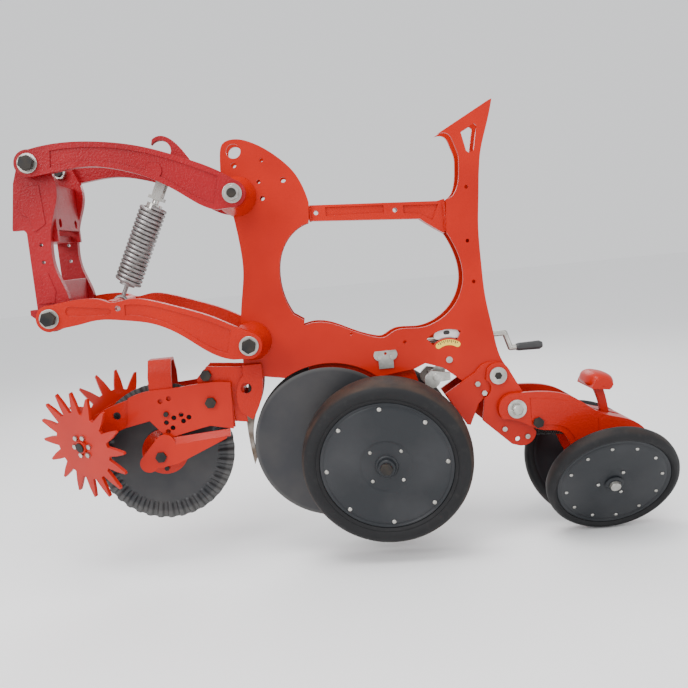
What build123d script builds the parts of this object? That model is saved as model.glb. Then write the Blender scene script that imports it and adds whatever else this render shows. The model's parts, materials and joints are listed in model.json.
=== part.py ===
"""Row unit of a corn planter: head bracket, parallel arms, shank, opener, gauge, cleaner and closing wheels.

Millimetres. +X points to the rear of the machine, +Z up, the left side is -Y.
The origin is the centre of the flat seat that rests against the planter's square toolbar.
"""

from build123d import *
import math
import os

# ---------------------------------------------------------------- driving sizes
TOOLBAR = 178.0            # square toolbar that the head bracket grips
TOOLBAR_GAP = 1.0          # slack above and below the toolbar
UBOLT_SPREAD_Z = 203.0     # between the two legs of a toolbar U-bolt
UBOLT_SPREAD_Y = 120.0     # between the two U-bolts
UBOLT_HOLE = 20.5          # diameter

LINK_LENGTH = 450.0        # pivot to pivot of every parallel arm
LINK_DROP = 13.5           # degrees the arms hang below level
PIVOT_SPACING = 344.0      # upper pivot above lower pivot
PIVOT_X = 31.0             # front pivots behind the toolbar seat
PIVOT_TOP_Z = 232.0        # upper front pivot above the toolbar centre

HEAD_HALF_WIDTH = 112.0    # outer face of a head side
HEAD_WALL = 20.0
HEAD_BOSS = 3.0            # pivot boss proud of the head side
ARM_THICK = 22.0
ARM_BOSS_R = 30.0
ARM_RIM = 12.0             # rim left around an arm's pocket
ARM_POCKET = 3.0           # depth of an arm's pocket

PIVOT_BOLT = 20.0          # diameter of the linkage bolts
RUN = 0.05                 # radial clearance of a running pin
END_GAP = 0.3              # end float of a wheel on its axle
OPEN_RUN = 0.4             # radial clearance at the lower rear pivots
WASHER_T = 3.0

SHANK_HALF = 32.0          # outer face of a shank plate
SHANK_WALL = 8.0
CROSSBAR_HALF = 20.0

SPRING_OD = 56.0
SPRING_WIRE = 9.5
SPRING_PIN = 20.0          # cross pin that carries the top of the spring

DISC_R = 190.5             # opener disc, 15 in
DISC_T = 4.0
DISC_TOE = 5.5             # degrees
DISC_CAMBER = 5.1
GAUGE_R = 203.0            # gauge wheel, 16 in
GAUGE_W = 96.0
GAUGE_TOE = 8.6
GAUGE_CAMBER = 8.4
COULTER_R = 170.0
COULTER_T = 5.0
SPIKE_R = 137.0            # row cleaner wheel over its teeth
SPIKE_ROOT_R = 86.0
SPIKE_TEETH = 16
SPIKE_T = 8.0
SPIKE_TOE = 34.4
SPIKE_CAMBER = 12.7
CLOSE_R = 160.0            # closing wheel
CLOSE_W = 34.0
CLOSE_TOE = 1.8
CLOSE_CAMBER = 29.2

CRANK_ROD = 14.0           # diameter
CRANK_THROW = 38.0
CRANK_GRIP = 20.0          # diameter

# ---------------------------------------------------------------- places (X, Z)
UP_FRONT = (PIVOT_X, PIVOT_TOP_Z)
LOW_FRONT = (PIVOT_X, PIVOT_TOP_Z - PIVOT_SPACING)
COS, SIN = math.cos(math.radians(LINK_DROP)), math.sin(math.radians(LINK_DROP))
UP_REAR = (UP_FRONT[0] + LINK_LENGTH * COS, UP_FRONT[1] - LINK_LENGTH * SIN)
LOW_REAR = (UP_REAR[0], UP_REAR[1] - PIVOT_SPACING)

SHANK_X, SHANK_Z = UP_REAR            # the shank hangs from its upper pivot
DISC_AXLE = (SHANK_X + 167.4, SHANK_Z - 614.0)
TAIL_PIN = (SHANK_X + 584.4, SHANK_Z - 486.0)
CLOSE_PIVOT = (SHANK_X + 621.4, SHANK_Z - 570.0)
LEVER_PIVOT = (SHANK_X + 471.4, SHANK_Z - 438.0)
CLEANER_PIVOT = (SHANK_X - 113.6, SHANK_Z - 481.0)
COULTER_AXLE = (SHANK_X - 244.6, SHANK_Z - 599.0)

ARM_IN = HEAD_HALF_WIDTH + HEAD_BOSS   # inner face of an arm
ARM_OUT = ARM_IN + ARM_THICK


# ---------------------------------------------------------------- building blocks
def outline(*runs):
    """Closed face from runs of points: two points are a line, three an arc, more a smooth curve."""
    edges = []
    for run in runs:
        if len(run) == 2:
            edges.append(Line(*run))
        elif len(run) == 3:
            edges.append(ThreePointArc(*run))
        else:
            edges.append(Spline(*run))
    return make_face(edges)


def polygon(*points):
    """Closed face with straight edges."""
    return make_face(Polyline(*points, close=True))


def slab(face, y_low, y_high):
    """Solid whose side view is the face, between two values of Y."""
    return extrude(Plane.XZ.offset(-y_high) * face, y_high - y_low)


def pin(place, radius, y_low, y_high):
    """Round bar along Y."""
    return slab(Pos(*place) * Circle(radius), y_low, y_high)


def ring(place, outer, inner, y_low, y_high):
    """Round tube along Y."""
    return slab(Pos(*place) * (Circle(outer) - Circle(inner)), y_low, y_high)


def hexagon(place, across, y_low, y_high, turn=0):
    """Hexagonal bar along Y, given across its flats."""
    return slab(Pos(*place) * Rot(0, 0, turn) * RegularPolygon(across / math.sqrt(3), 6), y_low, y_high)


def block(x_low, x_high, y_low, y_high, z_low, z_high):
    """Rectangular block between two corners."""
    size = (x_high - x_low, y_high - y_low, z_high - z_low)
    return Pos((x_low + x_high) / 2, (y_low + y_high) / 2, (z_low + z_high) / 2) * Box(*size)


def rod(start, end, radius):
    """Round bar between two points."""
    line = Vector(*end) - Vector(*start)
    return extrude(Plane(origin=start, z_dir=line) * Circle(radius), line.length)


def other_side(shape):
    """The same thing on the right of the machine."""
    return mirror(shape, about=Plane.XZ)


def both(shape):
    """The left piece and its mirror image."""
    return [shape, other_side(shape)]


def turned(*points):
    """Solid of revolution about local Z from points (radius, height)."""
    return revolve(Plane.XZ * make_face(Polyline(*points, close=True)), Axis.Z)


def wheel_plane(x, y, z, toe, camber):
    """Frame of a left wheel: local x to the rear, local y up, local z outward."""
    outward = Vector(-math.tan(math.radians(toe)), -1, -math.tan(math.radians(camber))).normalized()
    rearward = Vector(1, 0, 0) - outward * outward.X
    return Plane(origin=(x, y, z), x_dir=rearward, z_dir=outward)


def polar(radius, count, first=0.0):
    """Points evenly spaced on a circle."""
    return [
        (radius * math.cos(math.radians(first + 360 * i / count)),
         radius * math.sin(math.radians(first + 360 * i / count)))
        for i in range(count)
    ]


def link(place, s, t):
    """Point at s along an arm from its front pivot and t above its centre line."""
    return (place[0] + s * COS + t * SIN, place[1] - s * SIN + t * COS)


parts = {}


def keep(name, *solids):
    """Keeps one node made of one or more solids."""
    flat = [s for piece in solids for s in (piece if isinstance(piece, list) else [piece])]
    loose = [s for piece in flat for s in piece.solids()]
    parts[name] = loose[0] if len(loose) == 1 else Compound(children=loose)


# ---------------------------------------------------------------- head bracket
NOTCH = TOOLBAR / 2 + TOOLBAR_GAP
WEB_REAR = 62.0            # rear face of the cross webs
WEB_T = 18.0
BOLT_R = PIVOT_BOLT / 2
UP_X, UP_Z = UP_FRONT
LOW_X, LOW_Z = LOW_FRONT

side_face = outline(
    [(UP_X - 31, UP_Z + 5), (UP_X - 4, UP_Z + 31), (UP_X + 30, UP_Z + 5)],
    [(UP_X + 30, UP_Z + 5), (UP_X + 44, UP_Z - 30)],
    [(UP_X + 44, UP_Z - 30), (UP_X + 41, NOTCH + 49), (UP_X + 29, NOTCH + 16),
     (UP_X + 19, 52), (UP_X + 21, 0), (UP_X + 37, -50), (LOW_X + 43, LOW_Z + 36)],
    [(LOW_X + 43, LOW_Z + 36), (LOW_X + 31, LOW_Z + 5)],
    [(LOW_X + 31, LOW_Z + 5), (LOW_X, LOW_Z - 31), (LOW_X - 31, LOW_Z - 5)],
    [(LOW_X - 31, LOW_Z - 5), (-17, -NOTCH - 12)],
    [(-17, -NOTCH - 12), (-17, -NOTCH)],
    [(-17, -NOTCH), (0, -NOTCH)],
    [(0, -NOTCH), (0, NOTCH - 12)],
    [(0, NOTCH - 12), (-3, NOTCH - 3), (-9, NOTCH)],
    [(-9, NOTCH), (-30, NOTCH)],
    [(-30, NOTCH), (-30, NOTCH + 6)],
    [(-30, NOTCH + 6), (-15, UP_Z - 38)],
    [(-15, UP_Z - 38), (UP_X - 31, UP_Z + 5)],
)
head_side = slab(side_face, -HEAD_HALF_WIDTH, -HEAD_HALF_WIDTH + HEAD_WALL)
for place in (UP_FRONT, LOW_FRONT):
    head_side += pin(place, ARM_BOSS_R - 3, -ARM_IN, -HEAD_HALF_WIDTH)
    head_side -= pin(place, BOLT_R + RUN, -ARM_IN - 1, -HEAD_HALF_WIDTH + HEAD_WALL + 1)
upper_pad = polygon((UP_X - 42, 140), (UP_X - 24, UP_Z - 46), (UP_X + 10, UP_Z - 46), (UP_X + 14, 100),
                    (UP_X - 12, 84), (UP_X - 22, 118), (UP_X - 36, 124))
lower_pad = polygon((LOW_X - 12, LOW_Z + 95), (LOW_X + 4, LOW_Z + 102), (LOW_X + 16, LOW_Z + 60),
                    (LOW_X + 10, LOW_Z + 34), (LOW_X - 26, LOW_Z + 34), (LOW_X - 12, LOW_Z + 60))
for pad in (upper_pad, lower_pad):
    head_side += slab(pad, -HEAD_HALF_WIDTH - 2, -HEAD_HALF_WIDTH)
for z in (15, 54):
    head_side -= pin((28, z), 4, -HEAD_HALF_WIDTH - 3, -HEAD_HALF_WIDTH + HEAD_WALL + 1)
keep("head_side_left", head_side)
keep("head_side_right", other_side(head_side))

HEAD_INSIDE = HEAD_HALF_WIDTH - HEAD_WALL
HOLE_Z = UBOLT_SPREAD_Z / 2
upper_web = block(WEB_REAR - WEB_T, WEB_REAR, -HEAD_INSIDE, HEAD_INSIDE, HOLE_Z - 16, UP_Z - 42)
upper_web += block(UP_X - 20, WEB_REAR, -HEAD_INSIDE, HEAD_INSIDE, UP_Z - 54, UP_Z - 42)
LOWER_WEB_FRONT = 49.0      # clear of the lower pivot nuts
lower_web = block(LOWER_WEB_FRONT, WEB_REAR - 1, -HEAD_INSIDE, HEAD_INSIDE, -HOLE_Z - 18, -30)
for y in (-UBOLT_SPREAD_Y / 2, UBOLT_SPREAD_Y / 2):
    for z in (-HOLE_Z, HOLE_Z):
        leg = rod((-5, y, z), (WEB_REAR + 5, y, z), UBOLT_HOLE / 2)
        upper_web -= leg
        lower_web -= leg
SEAT_BAR_TOP = 75.0
seat_bar = block(0, WEB_REAR - WEB_T, -HEAD_INSIDE, HEAD_INSIDE, SEAT_BAR_TOP - 16, SEAT_BAR_TOP)
for piece in both(block(WEB_REAR - WEB_T - 12, WEB_REAR, -HEAD_INSIDE, -HEAD_INSIDE + 14, SEAT_BAR_TOP - 16, HOLE_Z)):
    seat_bar += piece
keep("head_web_upper", upper_web + seat_bar)
keep("head_web_lower", lower_web)

short_bolts, short_nuts, short_washers = [], [], []
NUT_IN = HEAD_INSIDE - 16
for place in (UP_FRONT, LOW_FRONT):
    bolt = pin(place, BOLT_R, -ARM_OUT - WASHER_T, -NUT_IN + 6)
    bolt += hexagon(place, 30, -ARM_OUT - WASHER_T - 13, -ARM_OUT - WASHER_T, 10)
    short_bolts += both(bolt)
    nut = hexagon(place, 30, -HEAD_INSIDE, -NUT_IN) - pin(place, BOLT_R, -HEAD_INSIDE, -NUT_IN)
    short_nuts += both(nut)
    short_washers += both(ring(place, 22, BOLT_R, -ARM_OUT - WASHER_T, -ARM_OUT))
keep("head_pivot_bolts", short_bolts)
keep("head_pivot_nuts_washers", short_nuts, short_washers)


# ---------------------------------------------------------------- parallel arms
def arm_face(place, top, bottom, tail_drop):
    """Side view of an arm: round front boss, arched back and belly, deep round rear boss."""
    r = ARM_BOSS_R
    rear_low = (LINK_LENGTH - 30, -tail_drop)
    return outline(
        [link(place, 6, -r + 0.6), link(place, -r, 0), link(place, -2, r)],
        [link(place, s, t) for s, t in [(-2, r)] + top + [(LINK_LENGTH + 2, r)]],
        [link(place, LINK_LENGTH + 2, r), link(place, LINK_LENGTH + r, -2), link(place, LINK_LENGTH + 12, -r + 2)],
        [link(place, LINK_LENGTH + 12, -r + 2), link(place, *rear_low)],
        [link(place, s, t) for s, t in [rear_low] + bottom + [(6, -r + 0.6)]],
    )


def arm_pocket(place, top, bottom):
    """Pocket in an arm's outer face, a rim's width inside its arched edges."""
    upper = [link(place, s, t - ARM_RIM) for s, t in top]
    lower = [link(place, s, t + ARM_RIM) for s, t in bottom]
    return outline(upper, [upper[-1], lower[0]], lower, [lower[-1], upper[0]])


def arm(place, top, bottom, tail_drop, pocket_top, pocket_bottom, rear_run):
    """Left arm casting with pocket and its two pivot bores."""
    body = slab(arm_face(place, top, bottom, tail_drop), -ARM_OUT, -ARM_IN)
    body -= slab(arm_pocket(place, pocket_top, pocket_bottom), -ARM_OUT - 1, -ARM_OUT + ARM_POCKET)
    rear = link(place, LINK_LENGTH, 0)
    body -= pin(place, BOLT_R + RUN, -ARM_OUT - 1, -ARM_IN + 1)
    body -= pin(rear, BOLT_R + rear_run, -ARM_OUT - 1, -ARM_IN + 1)
    return body


L = LINK_LENGTH
upper_top = [(0.15 * L, 55), (0.33 * L, 69), (0.54 * L, 72), (0.73 * L, 62), (0.9 * L, 47)]
upper_bottom = [(0.86 * L, -36), (0.78 * L, -22), (0.685 * L, -5), (0.57 * L, 9), (0.44 * L, 15.5),
                (0.3 * L, 13), (0.15 * L, -7)]
upper_left = arm(UP_FRONT, upper_top, upper_bottom, 41,
                 [(0.1 * L, 46), (0.33 * L, 69), (0.54 * L, 72), (0.73 * L, 62), (0.92 * L, 45)],
                 [(0.92 * L, -41), (0.86 * L, -36), (0.685 * L, -5), (0.44 * L, 15.5), (0.3 * L, 13),
                  (0.11 * L, -14)], RUN)
SPRING_TOP = link(UP_FRONT, 273, 24.4)
upper_left += pin(SPRING_TOP, 18, -ARM_OUT, -ARM_OUT + ARM_POCKET)
PIN_REACH = ARM_OUT - 6.0
upper_left -= pin(SPRING_TOP, SPRING_PIN / 2, -PIN_REACH, 0)
upper_right = other_side(upper_left)
HOOK_T = 14.0              # width of the hose hook across the machine
hook = outline(
    [link(UP_FRONT, 258, 92), link(UP_FRONT, 276, 103), link(UP_FRONT, 306, 95), link(UP_FRONT, 350, 58)],
    [link(UP_FRONT, 350, 58), link(UP_FRONT, 340, 40)],
    [link(UP_FRONT, 340, 40), link(UP_FRONT, 300, 46)],
    [link(UP_FRONT, 300, 46), link(UP_FRONT, 303, 74)],
    [link(UP_FRONT, 303, 74), link(UP_FRONT, 288, 92), link(UP_FRONT, 258, 80)],
    [link(UP_FRONT, 258, 80), link(UP_FRONT, 258, 92)],
)
upper_left += slab(hook, -ARM_IN - 4, -ARM_IN + HOOK_T)
keep("upper_arm_left", upper_left)
keep("upper_arm_right", upper_right)
keep("spring_top_pin", pin(SPRING_TOP, SPRING_PIN / 2, -PIN_REACH, PIN_REACH))

lower_top = [(0.1 * L, 48), (0.15 * L, 54), (0.25 * L, 58), (0.29 * L, 55), (0.36 * L, 66), (0.49 * L, 72),
             (0.64 * L, 65), (0.8 * L, 54), (0.9 * L, 42)]
lower_bottom = [(0.84 * L, -31), (0.66 * L, 3), (0.5 * L, 21), (0.37 * L, 19.5), (0.225 * L, 10),
                (0.15 * L, -4), (0.09 * L, -14)]
lower_left = arm(LOW_FRONT, lower_top, lower_bottom, 36,
                 [(0.36 * L, 66), (0.49 * L, 72), (0.64 * L, 65), (0.8 * L, 54), (0.9 * L, 42)],
                 [(0.9 * L, -35), (0.84 * L, -31), (0.66 * L, 3), (0.5 * L, 21), (0.37 * L, 19.5)], OPEN_RUN)
front_pocket = outline(
    [link(LOW_FRONT, 42, 33), link(LOW_FRONT, 34, 22), link(LOW_FRONT, 42, 11)],
    [link(LOW_FRONT, 42, 11), link(LOW_FRONT, 128, 27)],
    [link(LOW_FRONT, 128, 27), link(LOW_FRONT, 134, 34), link(LOW_FRONT, 128, 41)],
    [link(LOW_FRONT, 128, 41), link(LOW_FRONT, 42, 33)],
)
lower_left -= slab(front_pocket, -ARM_OUT - 1, -ARM_OUT + ARM_POCKET)
lower_left -= pin(link(LOW_FRONT, 148, 44), 6.5, -ARM_OUT - 1, -ARM_IN + 1)
lower_right = other_side(lower_left)
SPRING_FOOT = link(LOW_FRONT, 123, 45)
CROSS_BAR_R = 13.0
HOOK_WIRE = 10.0
cross_bar = pin(SPRING_FOOT, CROSS_BAR_R, -ARM_IN, ARM_IN)
cross_bar -= ring(SPRING_FOOT, CROSS_BAR_R + 1, CROSS_BAR_R - 4, -HOOK_WIRE, HOOK_WIRE)
keep("lower_arm_left", lower_left)
keep("lower_arm_right", lower_right)
keep("lower_arm_crossbar", cross_bar)

# ---------------------------------------------------------------- down-force spring
spring_run = Vector(SPRING_TOP[0] - SPRING_FOOT[0], 0, SPRING_TOP[1] - SPRING_FOOT[1])
SPRING_SPAN = spring_run.length
spring_frame = Plane(origin=(SPRING_FOOT[0], 0, SPRING_FOOT[1]), x_dir=(0, 1, 0), z_dir=spring_run)
COIL_LOW = 45.0            # coil starts this far above the foot
COIL_TOP_GAP = 72.0        # coil ends this far below the top pin
COIL_HIGH = SPRING_SPAN - COIL_TOP_GAP
coil = spring_frame * Pos(0, 0, COIL_LOW) * extrude(
    Circle(SPRING_OD / 2) - Circle(SPRING_OD / 2 - SPRING_WIRE), COIL_HIGH - COIL_LOW)
EYE_R = CROSS_BAR_R - 4 + OPEN_RUN + HOOK_WIRE / 2
eye = Torus(EYE_R, HOOK_WIRE / 2)
eye = spring_frame * Rot(0, 90, 0) * eye
stalk = spring_frame * Pos(0, 0, EYE_R) * extrude(Circle(HOOK_WIRE / 2), COIL_LOW - EYE_R + 12)
foot_plug = spring_frame * Pos(0, 0, COIL_LOW) * extrude(Circle(SPRING_OD / 2 - SPRING_WIRE), 12)
keep("spring_coil", coil)
keep("spring_lower_hook", eye + stalk + foot_plug)

PLUG_R = SPRING_OD / 2 - SPRING_WIRE
STUD_R = 8.0
STRAP_LOW = SPRING_SPAN - 60.0
plug = spring_frame * Pos(0, 0, COIL_HIGH - 24) * extrude(Circle(PLUG_R), 26)
plug += spring_frame * Pos(0, 0, COIL_HIGH + 2) * extrude(Circle(STUD_R), STRAP_LOW + 24 - COIL_HIGH)
STRAP_HALF = 22.0
STRAP_T = 6.0
PIN_EYE = SPRING_PIN / 2 + 6.0
strap_bar = Pos(0, 0, STRAP_LOW) * Box(2 * STRAP_HALF, 34, STRAP_T + 2, align=(Align.CENTER, Align.CENTER, Align.MIN))
strap_bar -= Pos(0, 0, STRAP_LOW - 1) * extrude(Circle(STUD_R), STRAP_T + 4)
for turn in (-1, 1):
    edge = turn * (STRAP_HALF - STRAP_T / 2)
    leg = Pos(edge, 0, STRAP_LOW) * Box(STRAP_T, 22, SPRING_SPAN - STRAP_LOW,
                                        align=(Align.CENTER, Align.CENTER, Align.MIN))
    eye_plate = Pos(edge - STRAP_T / 2, 0, SPRING_SPAN) * Rot(0, 90, 0) * extrude(Circle(PIN_EYE + 6), STRAP_T)
    strap_bar += leg + eye_plate
strap_bar -= Pos(-STRAP_HALF - 1, 0, SPRING_SPAN) * Rot(0, 90, 0) * extrude(Circle(PIN_EYE), 2 * STRAP_HALF + 2)
keep("spring_clevis", spring_frame * strap_bar)
stud_nut = Pos(0, 0, STRAP_LOW + STRAP_T + 2) * extrude(
    RegularPolygon(13.8, 6) - Circle(STUD_R), 13)
keep("spring_plug", plug, spring_frame * stud_nut)


# ---------------------------------------------------------------- shank
def near(dx, dz):
    """Point measured from the shank's upper pivot."""
    return (SHANK_X + dx, SHANK_Z + dz)


def above_disc(angle):
    """Point on the relief that keeps the shank clear of the opener discs."""
    reach = DISC_R + 7
    return (DISC_AXLE[0] + reach * math.cos(math.radians(angle)),
            DISC_AXLE[1] + reach * math.sin(math.radians(angle)))


BEAM_TOP, BEAM_LOW = -36.0, -70.0      # crossbar, measured from the upper pivot
shank_face = outline(
    [near(-31, 63), near(-27, 104), near(-20, 122), near(13, 131), near(42, 123), near(75, 105),
     near(108, 79), near(141, 42), near(156, 12), near(168, -30)],
    [near(168, -30), near(163, -77)],
    [near(163, -77), near(116, -104), near(90, -147), near(82, -201), near(88, -247), near(106, -291)],
    [near(106, -291), near(130, -307)],
    [near(130, -307), near(128, -320)],
    [near(128, -320), near(200, -324), near(236, -341), near(299, -366), near(317, -368),
     near(341, -356), near(406, -353), near(455, -339), near(495, -306), near(520, -248),
     near(512, -180), near(489, -130)],
    [near(489, -130), near(494, -54)],
    [near(494, -54), near(514, -42), near(526, -16), near(531, 24), near(531, 50), near(524, 72),
     near(516, 93), near(486, 101)],
    [near(486, 101), near(612, 168)],
    [near(612, 168), near(620, 171)],
    [near(620, 171), near(604, 114), near(586, 57), near(573, -48), near(567, -115), near(567, -207),
     near(572, -302), near(583, -372), near(606, -462), near(618, -478)],
    [near(618, -478), near(616, -498)],
    [near(616, -498), near(500, -494)],
    [near(500, -494), near(455, -456)],
    [near(455, -456), near(412, -441)],
    [near(412, -441), near(385, -452)],
    [near(385, -452), above_disc(50)],
    [above_disc(50), above_disc(90), above_disc(120)],
    [above_disc(120), near(30, -436)],
    [near(30, -436), near(-28, -424)],
    [near(-28, -424), near(-25, -340), near(-18, -265), near(-3, -174), near(-4, -119), near(-12, -47),
     near(-31, 63)],
)
TOP_HOLE = near(4, 104)
PIN_HOLES = [(near(1, 72), 6.5), (near(67, 78), 4.5), (near(55, 29), 4.5), (near(113, 28), 6.5), (near(60, -10), 5.5)]
POST_HOLES = [(near(545, -28), 4.5), (near(538, -155), 4.5), (near(546, -254), 4.5), (near(239, -351), 3.5),
              (near(367, -384), 4.0)]
shank_face -= Pos(*TOP_HOLE) * Circle(17)
for place, radius in PIN_HOLES + POST_HOLES:
    shank_face -= Pos(*place) * Circle(radius)
shank_face -= polygon(near(541, 101), near(574, 118), near(580, 112), near(569, 56), near(557, 51), near(551, 56))

SLOT_R = 64.0              # depth pointer's slot, about the lever pivot
SLOT_HALF = 11.0
slot = Pos(*LEVER_PIVOT) * (Circle(SLOT_R + SLOT_HALF) - Circle(SLOT_R - SLOT_HALF))
wedge = polygon(LEVER_PIVOT, (LEVER_PIVOT[0] - 62, LEVER_PIVOT[1] + 68), (LEVER_PIVOT[0] - 20, LEVER_PIVOT[1] + 110),
                (LEVER_PIVOT[0] + 30, LEVER_PIVOT[1] + 110), (LEVER_PIVOT[0] + 46, LEVER_PIVOT[1] + 90))
shank_plate = slab(shank_face - (slot & wedge) - Pos(*LEVER_PIVOT) * Circle(8.0), -SHANK_HALF,
                   -SHANK_HALF + SHANK_WALL)
keep("shank_plate_left", shank_plate)
keep("shank_plate_right", other_side(slab(shank_face - Pos(*LEVER_PIVOT) * Circle(8.0), -SHANK_HALF,
                                          -SHANK_HALF + SHANK_WALL)))

SHANK_IN = SHANK_HALF - SHANK_WALL
beam = outline(
    [near(168, BEAM_TOP), near(474, -54)],
    [near(474, -54), near(492, -50)],
    [near(492, -50), near(487, -132)],
    [near(487, -132), near(470, -121), near(430, -92)],
    [near(430, -92), near(166, -73)],
    [near(166, -73), near(168, BEAM_TOP)],
)
crossbar = slab(beam, -CROSSBAR_HALF, CROSSBAR_HALF)
front_tang = polygon(near(148, -42), near(169, -42), near(169, -70), near(148, -70))
rear_tang = polygon(near(486, -60), near(512, -60), near(512, -126), near(486, -126))
for tang in (front_tang, rear_tang):
    crossbar += slab(tang, -SHANK_IN, SHANK_IN)
long_pocket = polygon(near(206, -44), near(345, -52), near(345, -69), near(206, -64))
short_pocket = polygon(near(392, -57), near(476, -62), near(460, -98), near(430, -80), near(392, -75))
for pocket in (long_pocket, short_pocket):
    crossbar -= slab(pocket, -CROSSBAR_HALF - 1, -CROSSBAR_HALF + 4)
    crossbar -= slab(pocket, CROSSBAR_HALF - 4, CROSSBAR_HALF + 1)
METER_HOLE = 5.5
METER_HOLES = [near(183, -55), near(372, -66)]
for place in METER_HOLES:
    crossbar -= pin(place, METER_HOLE, -CROSSBAR_HALF - 1, CROSSBAR_HALF + 1)
keep("shank_crossbar", crossbar)

EDGE_T = 8.0
front_strip = outline(
    [near(-12, -47), near(-4, -119), near(-3, -174), near(-18, -265), near(-25, -340), near(-28, -400)],
    [near(-28, -400), near(-28 + EDGE_T, -400)],
    [near(-28 + EDGE_T, -400), near(-25 + EDGE_T, -340), near(-18 + EDGE_T, -265), near(-3 + EDGE_T, -174),
     near(-4 + EDGE_T, -119), near(-12 + EDGE_T, -47)],
    [near(-12 + EDGE_T, -47), near(-12, -47)],
)
PIVOT_TUBE_R = 30.0
front_slab = slab(front_strip, -SHANK_IN, SHANK_IN) - pin(LOW_REAR, 26, -SHANK_IN, SHANK_IN)
rear_strip = outline(
    [near(586, 57), near(573, -48), near(567, -115), near(567, -207), near(572, -302), near(583, -372)],
    [near(583, -372), near(583 - EDGE_T, -372)],
    [near(583 - EDGE_T, -372), near(572 - EDGE_T, -302), near(567 - EDGE_T, -207), near(567 - EDGE_T, -115),
     near(573 - EDGE_T, -48), near(586 - EDGE_T, 57)],
    [near(586 - EDGE_T, 57), near(586, 57)],
)
CRANK_Z = LEVER_PIVOT[1] + 48.0
rear_slab = slab(rear_strip, -SHANK_IN, SHANK_IN)
CRANK_X = SHANK_X + 570
rear_slab -= rod((CRANK_X - 40, 0, CRANK_Z), (CRANK_X + 60, 0, CRANK_Z), CRANK_ROD / 2 + RUN)
keep("shank_edge_strips", front_slab, rear_slab)

pivot_tubes = []
for rear in (UP_REAR, LOW_REAR):
    trumpet = Pos(rear[0], 0, rear[1]) * Rot(90, 0, 0) * turned(
        (BOLT_R + RUN, SHANK_HALF), (47, SHANK_HALF), (44, SHANK_HALF + 12), (33, SHANK_HALF + 42),
        (PIVOT_TUBE_R, SHANK_HALF + 60), (PIVOT_TUBE_R, ARM_IN), (BOLT_R + RUN, ARM_IN))
    pivot_tubes += both(trumpet) + [ring(rear, 26, BOLT_R + RUN, -SHANK_IN, SHANK_IN)]
keep("shank_pivot_tubes", pivot_tubes)
for name in ("shank_plate_left", "shank_plate_right"):
    for rear in (UP_REAR, LOW_REAR):
        parts[name] -= pin(rear, BOLT_R + RUN, -SHANK_HALF - 1, SHANK_HALF + 1)

long_bolts, long_nuts, long_washers = [], [], []
for rear in (UP_REAR, LOW_REAR):
    bolt = pin(rear, BOLT_R, -ARM_OUT - WASHER_T - 22, ARM_OUT + WASHER_T)
    bolt += hexagon(rear, 30, ARM_OUT + WASHER_T, ARM_OUT + WASHER_T + 13, 20)
    nut = hexagon(rear, 30, -ARM_OUT - WASHER_T - 16, -ARM_OUT - WASHER_T, 20)
    nut -= pin(rear, BOLT_R, -ARM_OUT - WASHER_T - 16, -ARM_OUT - WASHER_T)
    long_bolts.append(bolt if rear == UP_REAR else other_side(bolt))
    long_nuts.append(nut if rear == UP_REAR else other_side(nut))
    long_washers += both(ring(rear, 22, BOLT_R, -ARM_OUT - WASHER_T, -ARM_OUT))
keep("shank_pivot_bolts", long_bolts, long_nuts, long_washers)

# ---------------------------------------------------------------- disc carrier between the shank plates
BLADE_HALF = 10.0
gauge_frame = wheel_plane(SHANK_X + 287.4, -150, SHANK_Z - 655.0, GAUGE_TOE, GAUGE_CAMBER)
GAUGE_PIVOT = (85.0, 70.0)             # in the wheel's own plane, from its axle
PIVOT_SHAFT_R = 16.0
pivot_start = gauge_frame.from_local_coords(Vector(*GAUGE_PIVOT, 0))
to_blade = (-BLADE_HALF - pivot_start.Y) / -gauge_frame.z_dir.Y
SHAFT_ROOT = pivot_start - gauge_frame.z_dir * to_blade
blade_face = outline(
    [near(150, -340), near(126, -436)],
    [near(126, -436), (DISC_AXLE[0] - 30, DISC_AXLE[1])],
    [(DISC_AXLE[0] - 30, DISC_AXLE[1]), (DISC_AXLE[0], DISC_AXLE[1] - 30), (DISC_AXLE[0] + 30, DISC_AXLE[1])],
    [(DISC_AXLE[0] + 30, DISC_AXLE[1]), (SHAFT_ROOT.X - 50, SHAFT_ROOT.Z)],
    [(SHAFT_ROOT.X - 50, SHAFT_ROOT.Z), (SHAFT_ROOT.X + 6, SHAFT_ROOT.Z - 32)],
    [(SHAFT_ROOT.X + 6, SHAFT_ROOT.Z - 32), (SHAFT_ROOT.X + 38, SHAFT_ROOT.Z), (SHAFT_ROOT.X + 10, SHAFT_ROOT.Z + 36)],
    [(SHAFT_ROOT.X + 10, SHAFT_ROOT.Z + 36), near(385, -452)],
    [near(385, -452), near(360, -400)],
    [near(360, -400), near(150, -340)],
)
blade = slab(blade_face, -BLADE_HALF, BLADE_HALF)
shank_side = slab(shank_face, -SHANK_IN, SHANK_IN)
blade_top = slab(blade_face, -SHANK_IN, SHANK_IN) & shank_side
carrier = blade + blade_top
keep("disc_carrier", carrier)

shaft = extrude(gauge_frame * Pos(*GAUGE_PIVOT, -30) * Circle(PIVOT_SHAFT_R), -160)
shaft -= block(SHAFT_ROOT.X - 99, SHAFT_ROOT.X + 99, -BLADE_HALF, 99, SHAFT_ROOT.Z - 99, SHAFT_ROOT.Z + 99)
shaft_nut = extrude(gauge_frame * Pos(*GAUGE_PIVOT, -30) * RegularPolygon(21, 6), 12)
gauge_shaft = shaft + shaft_nut

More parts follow.
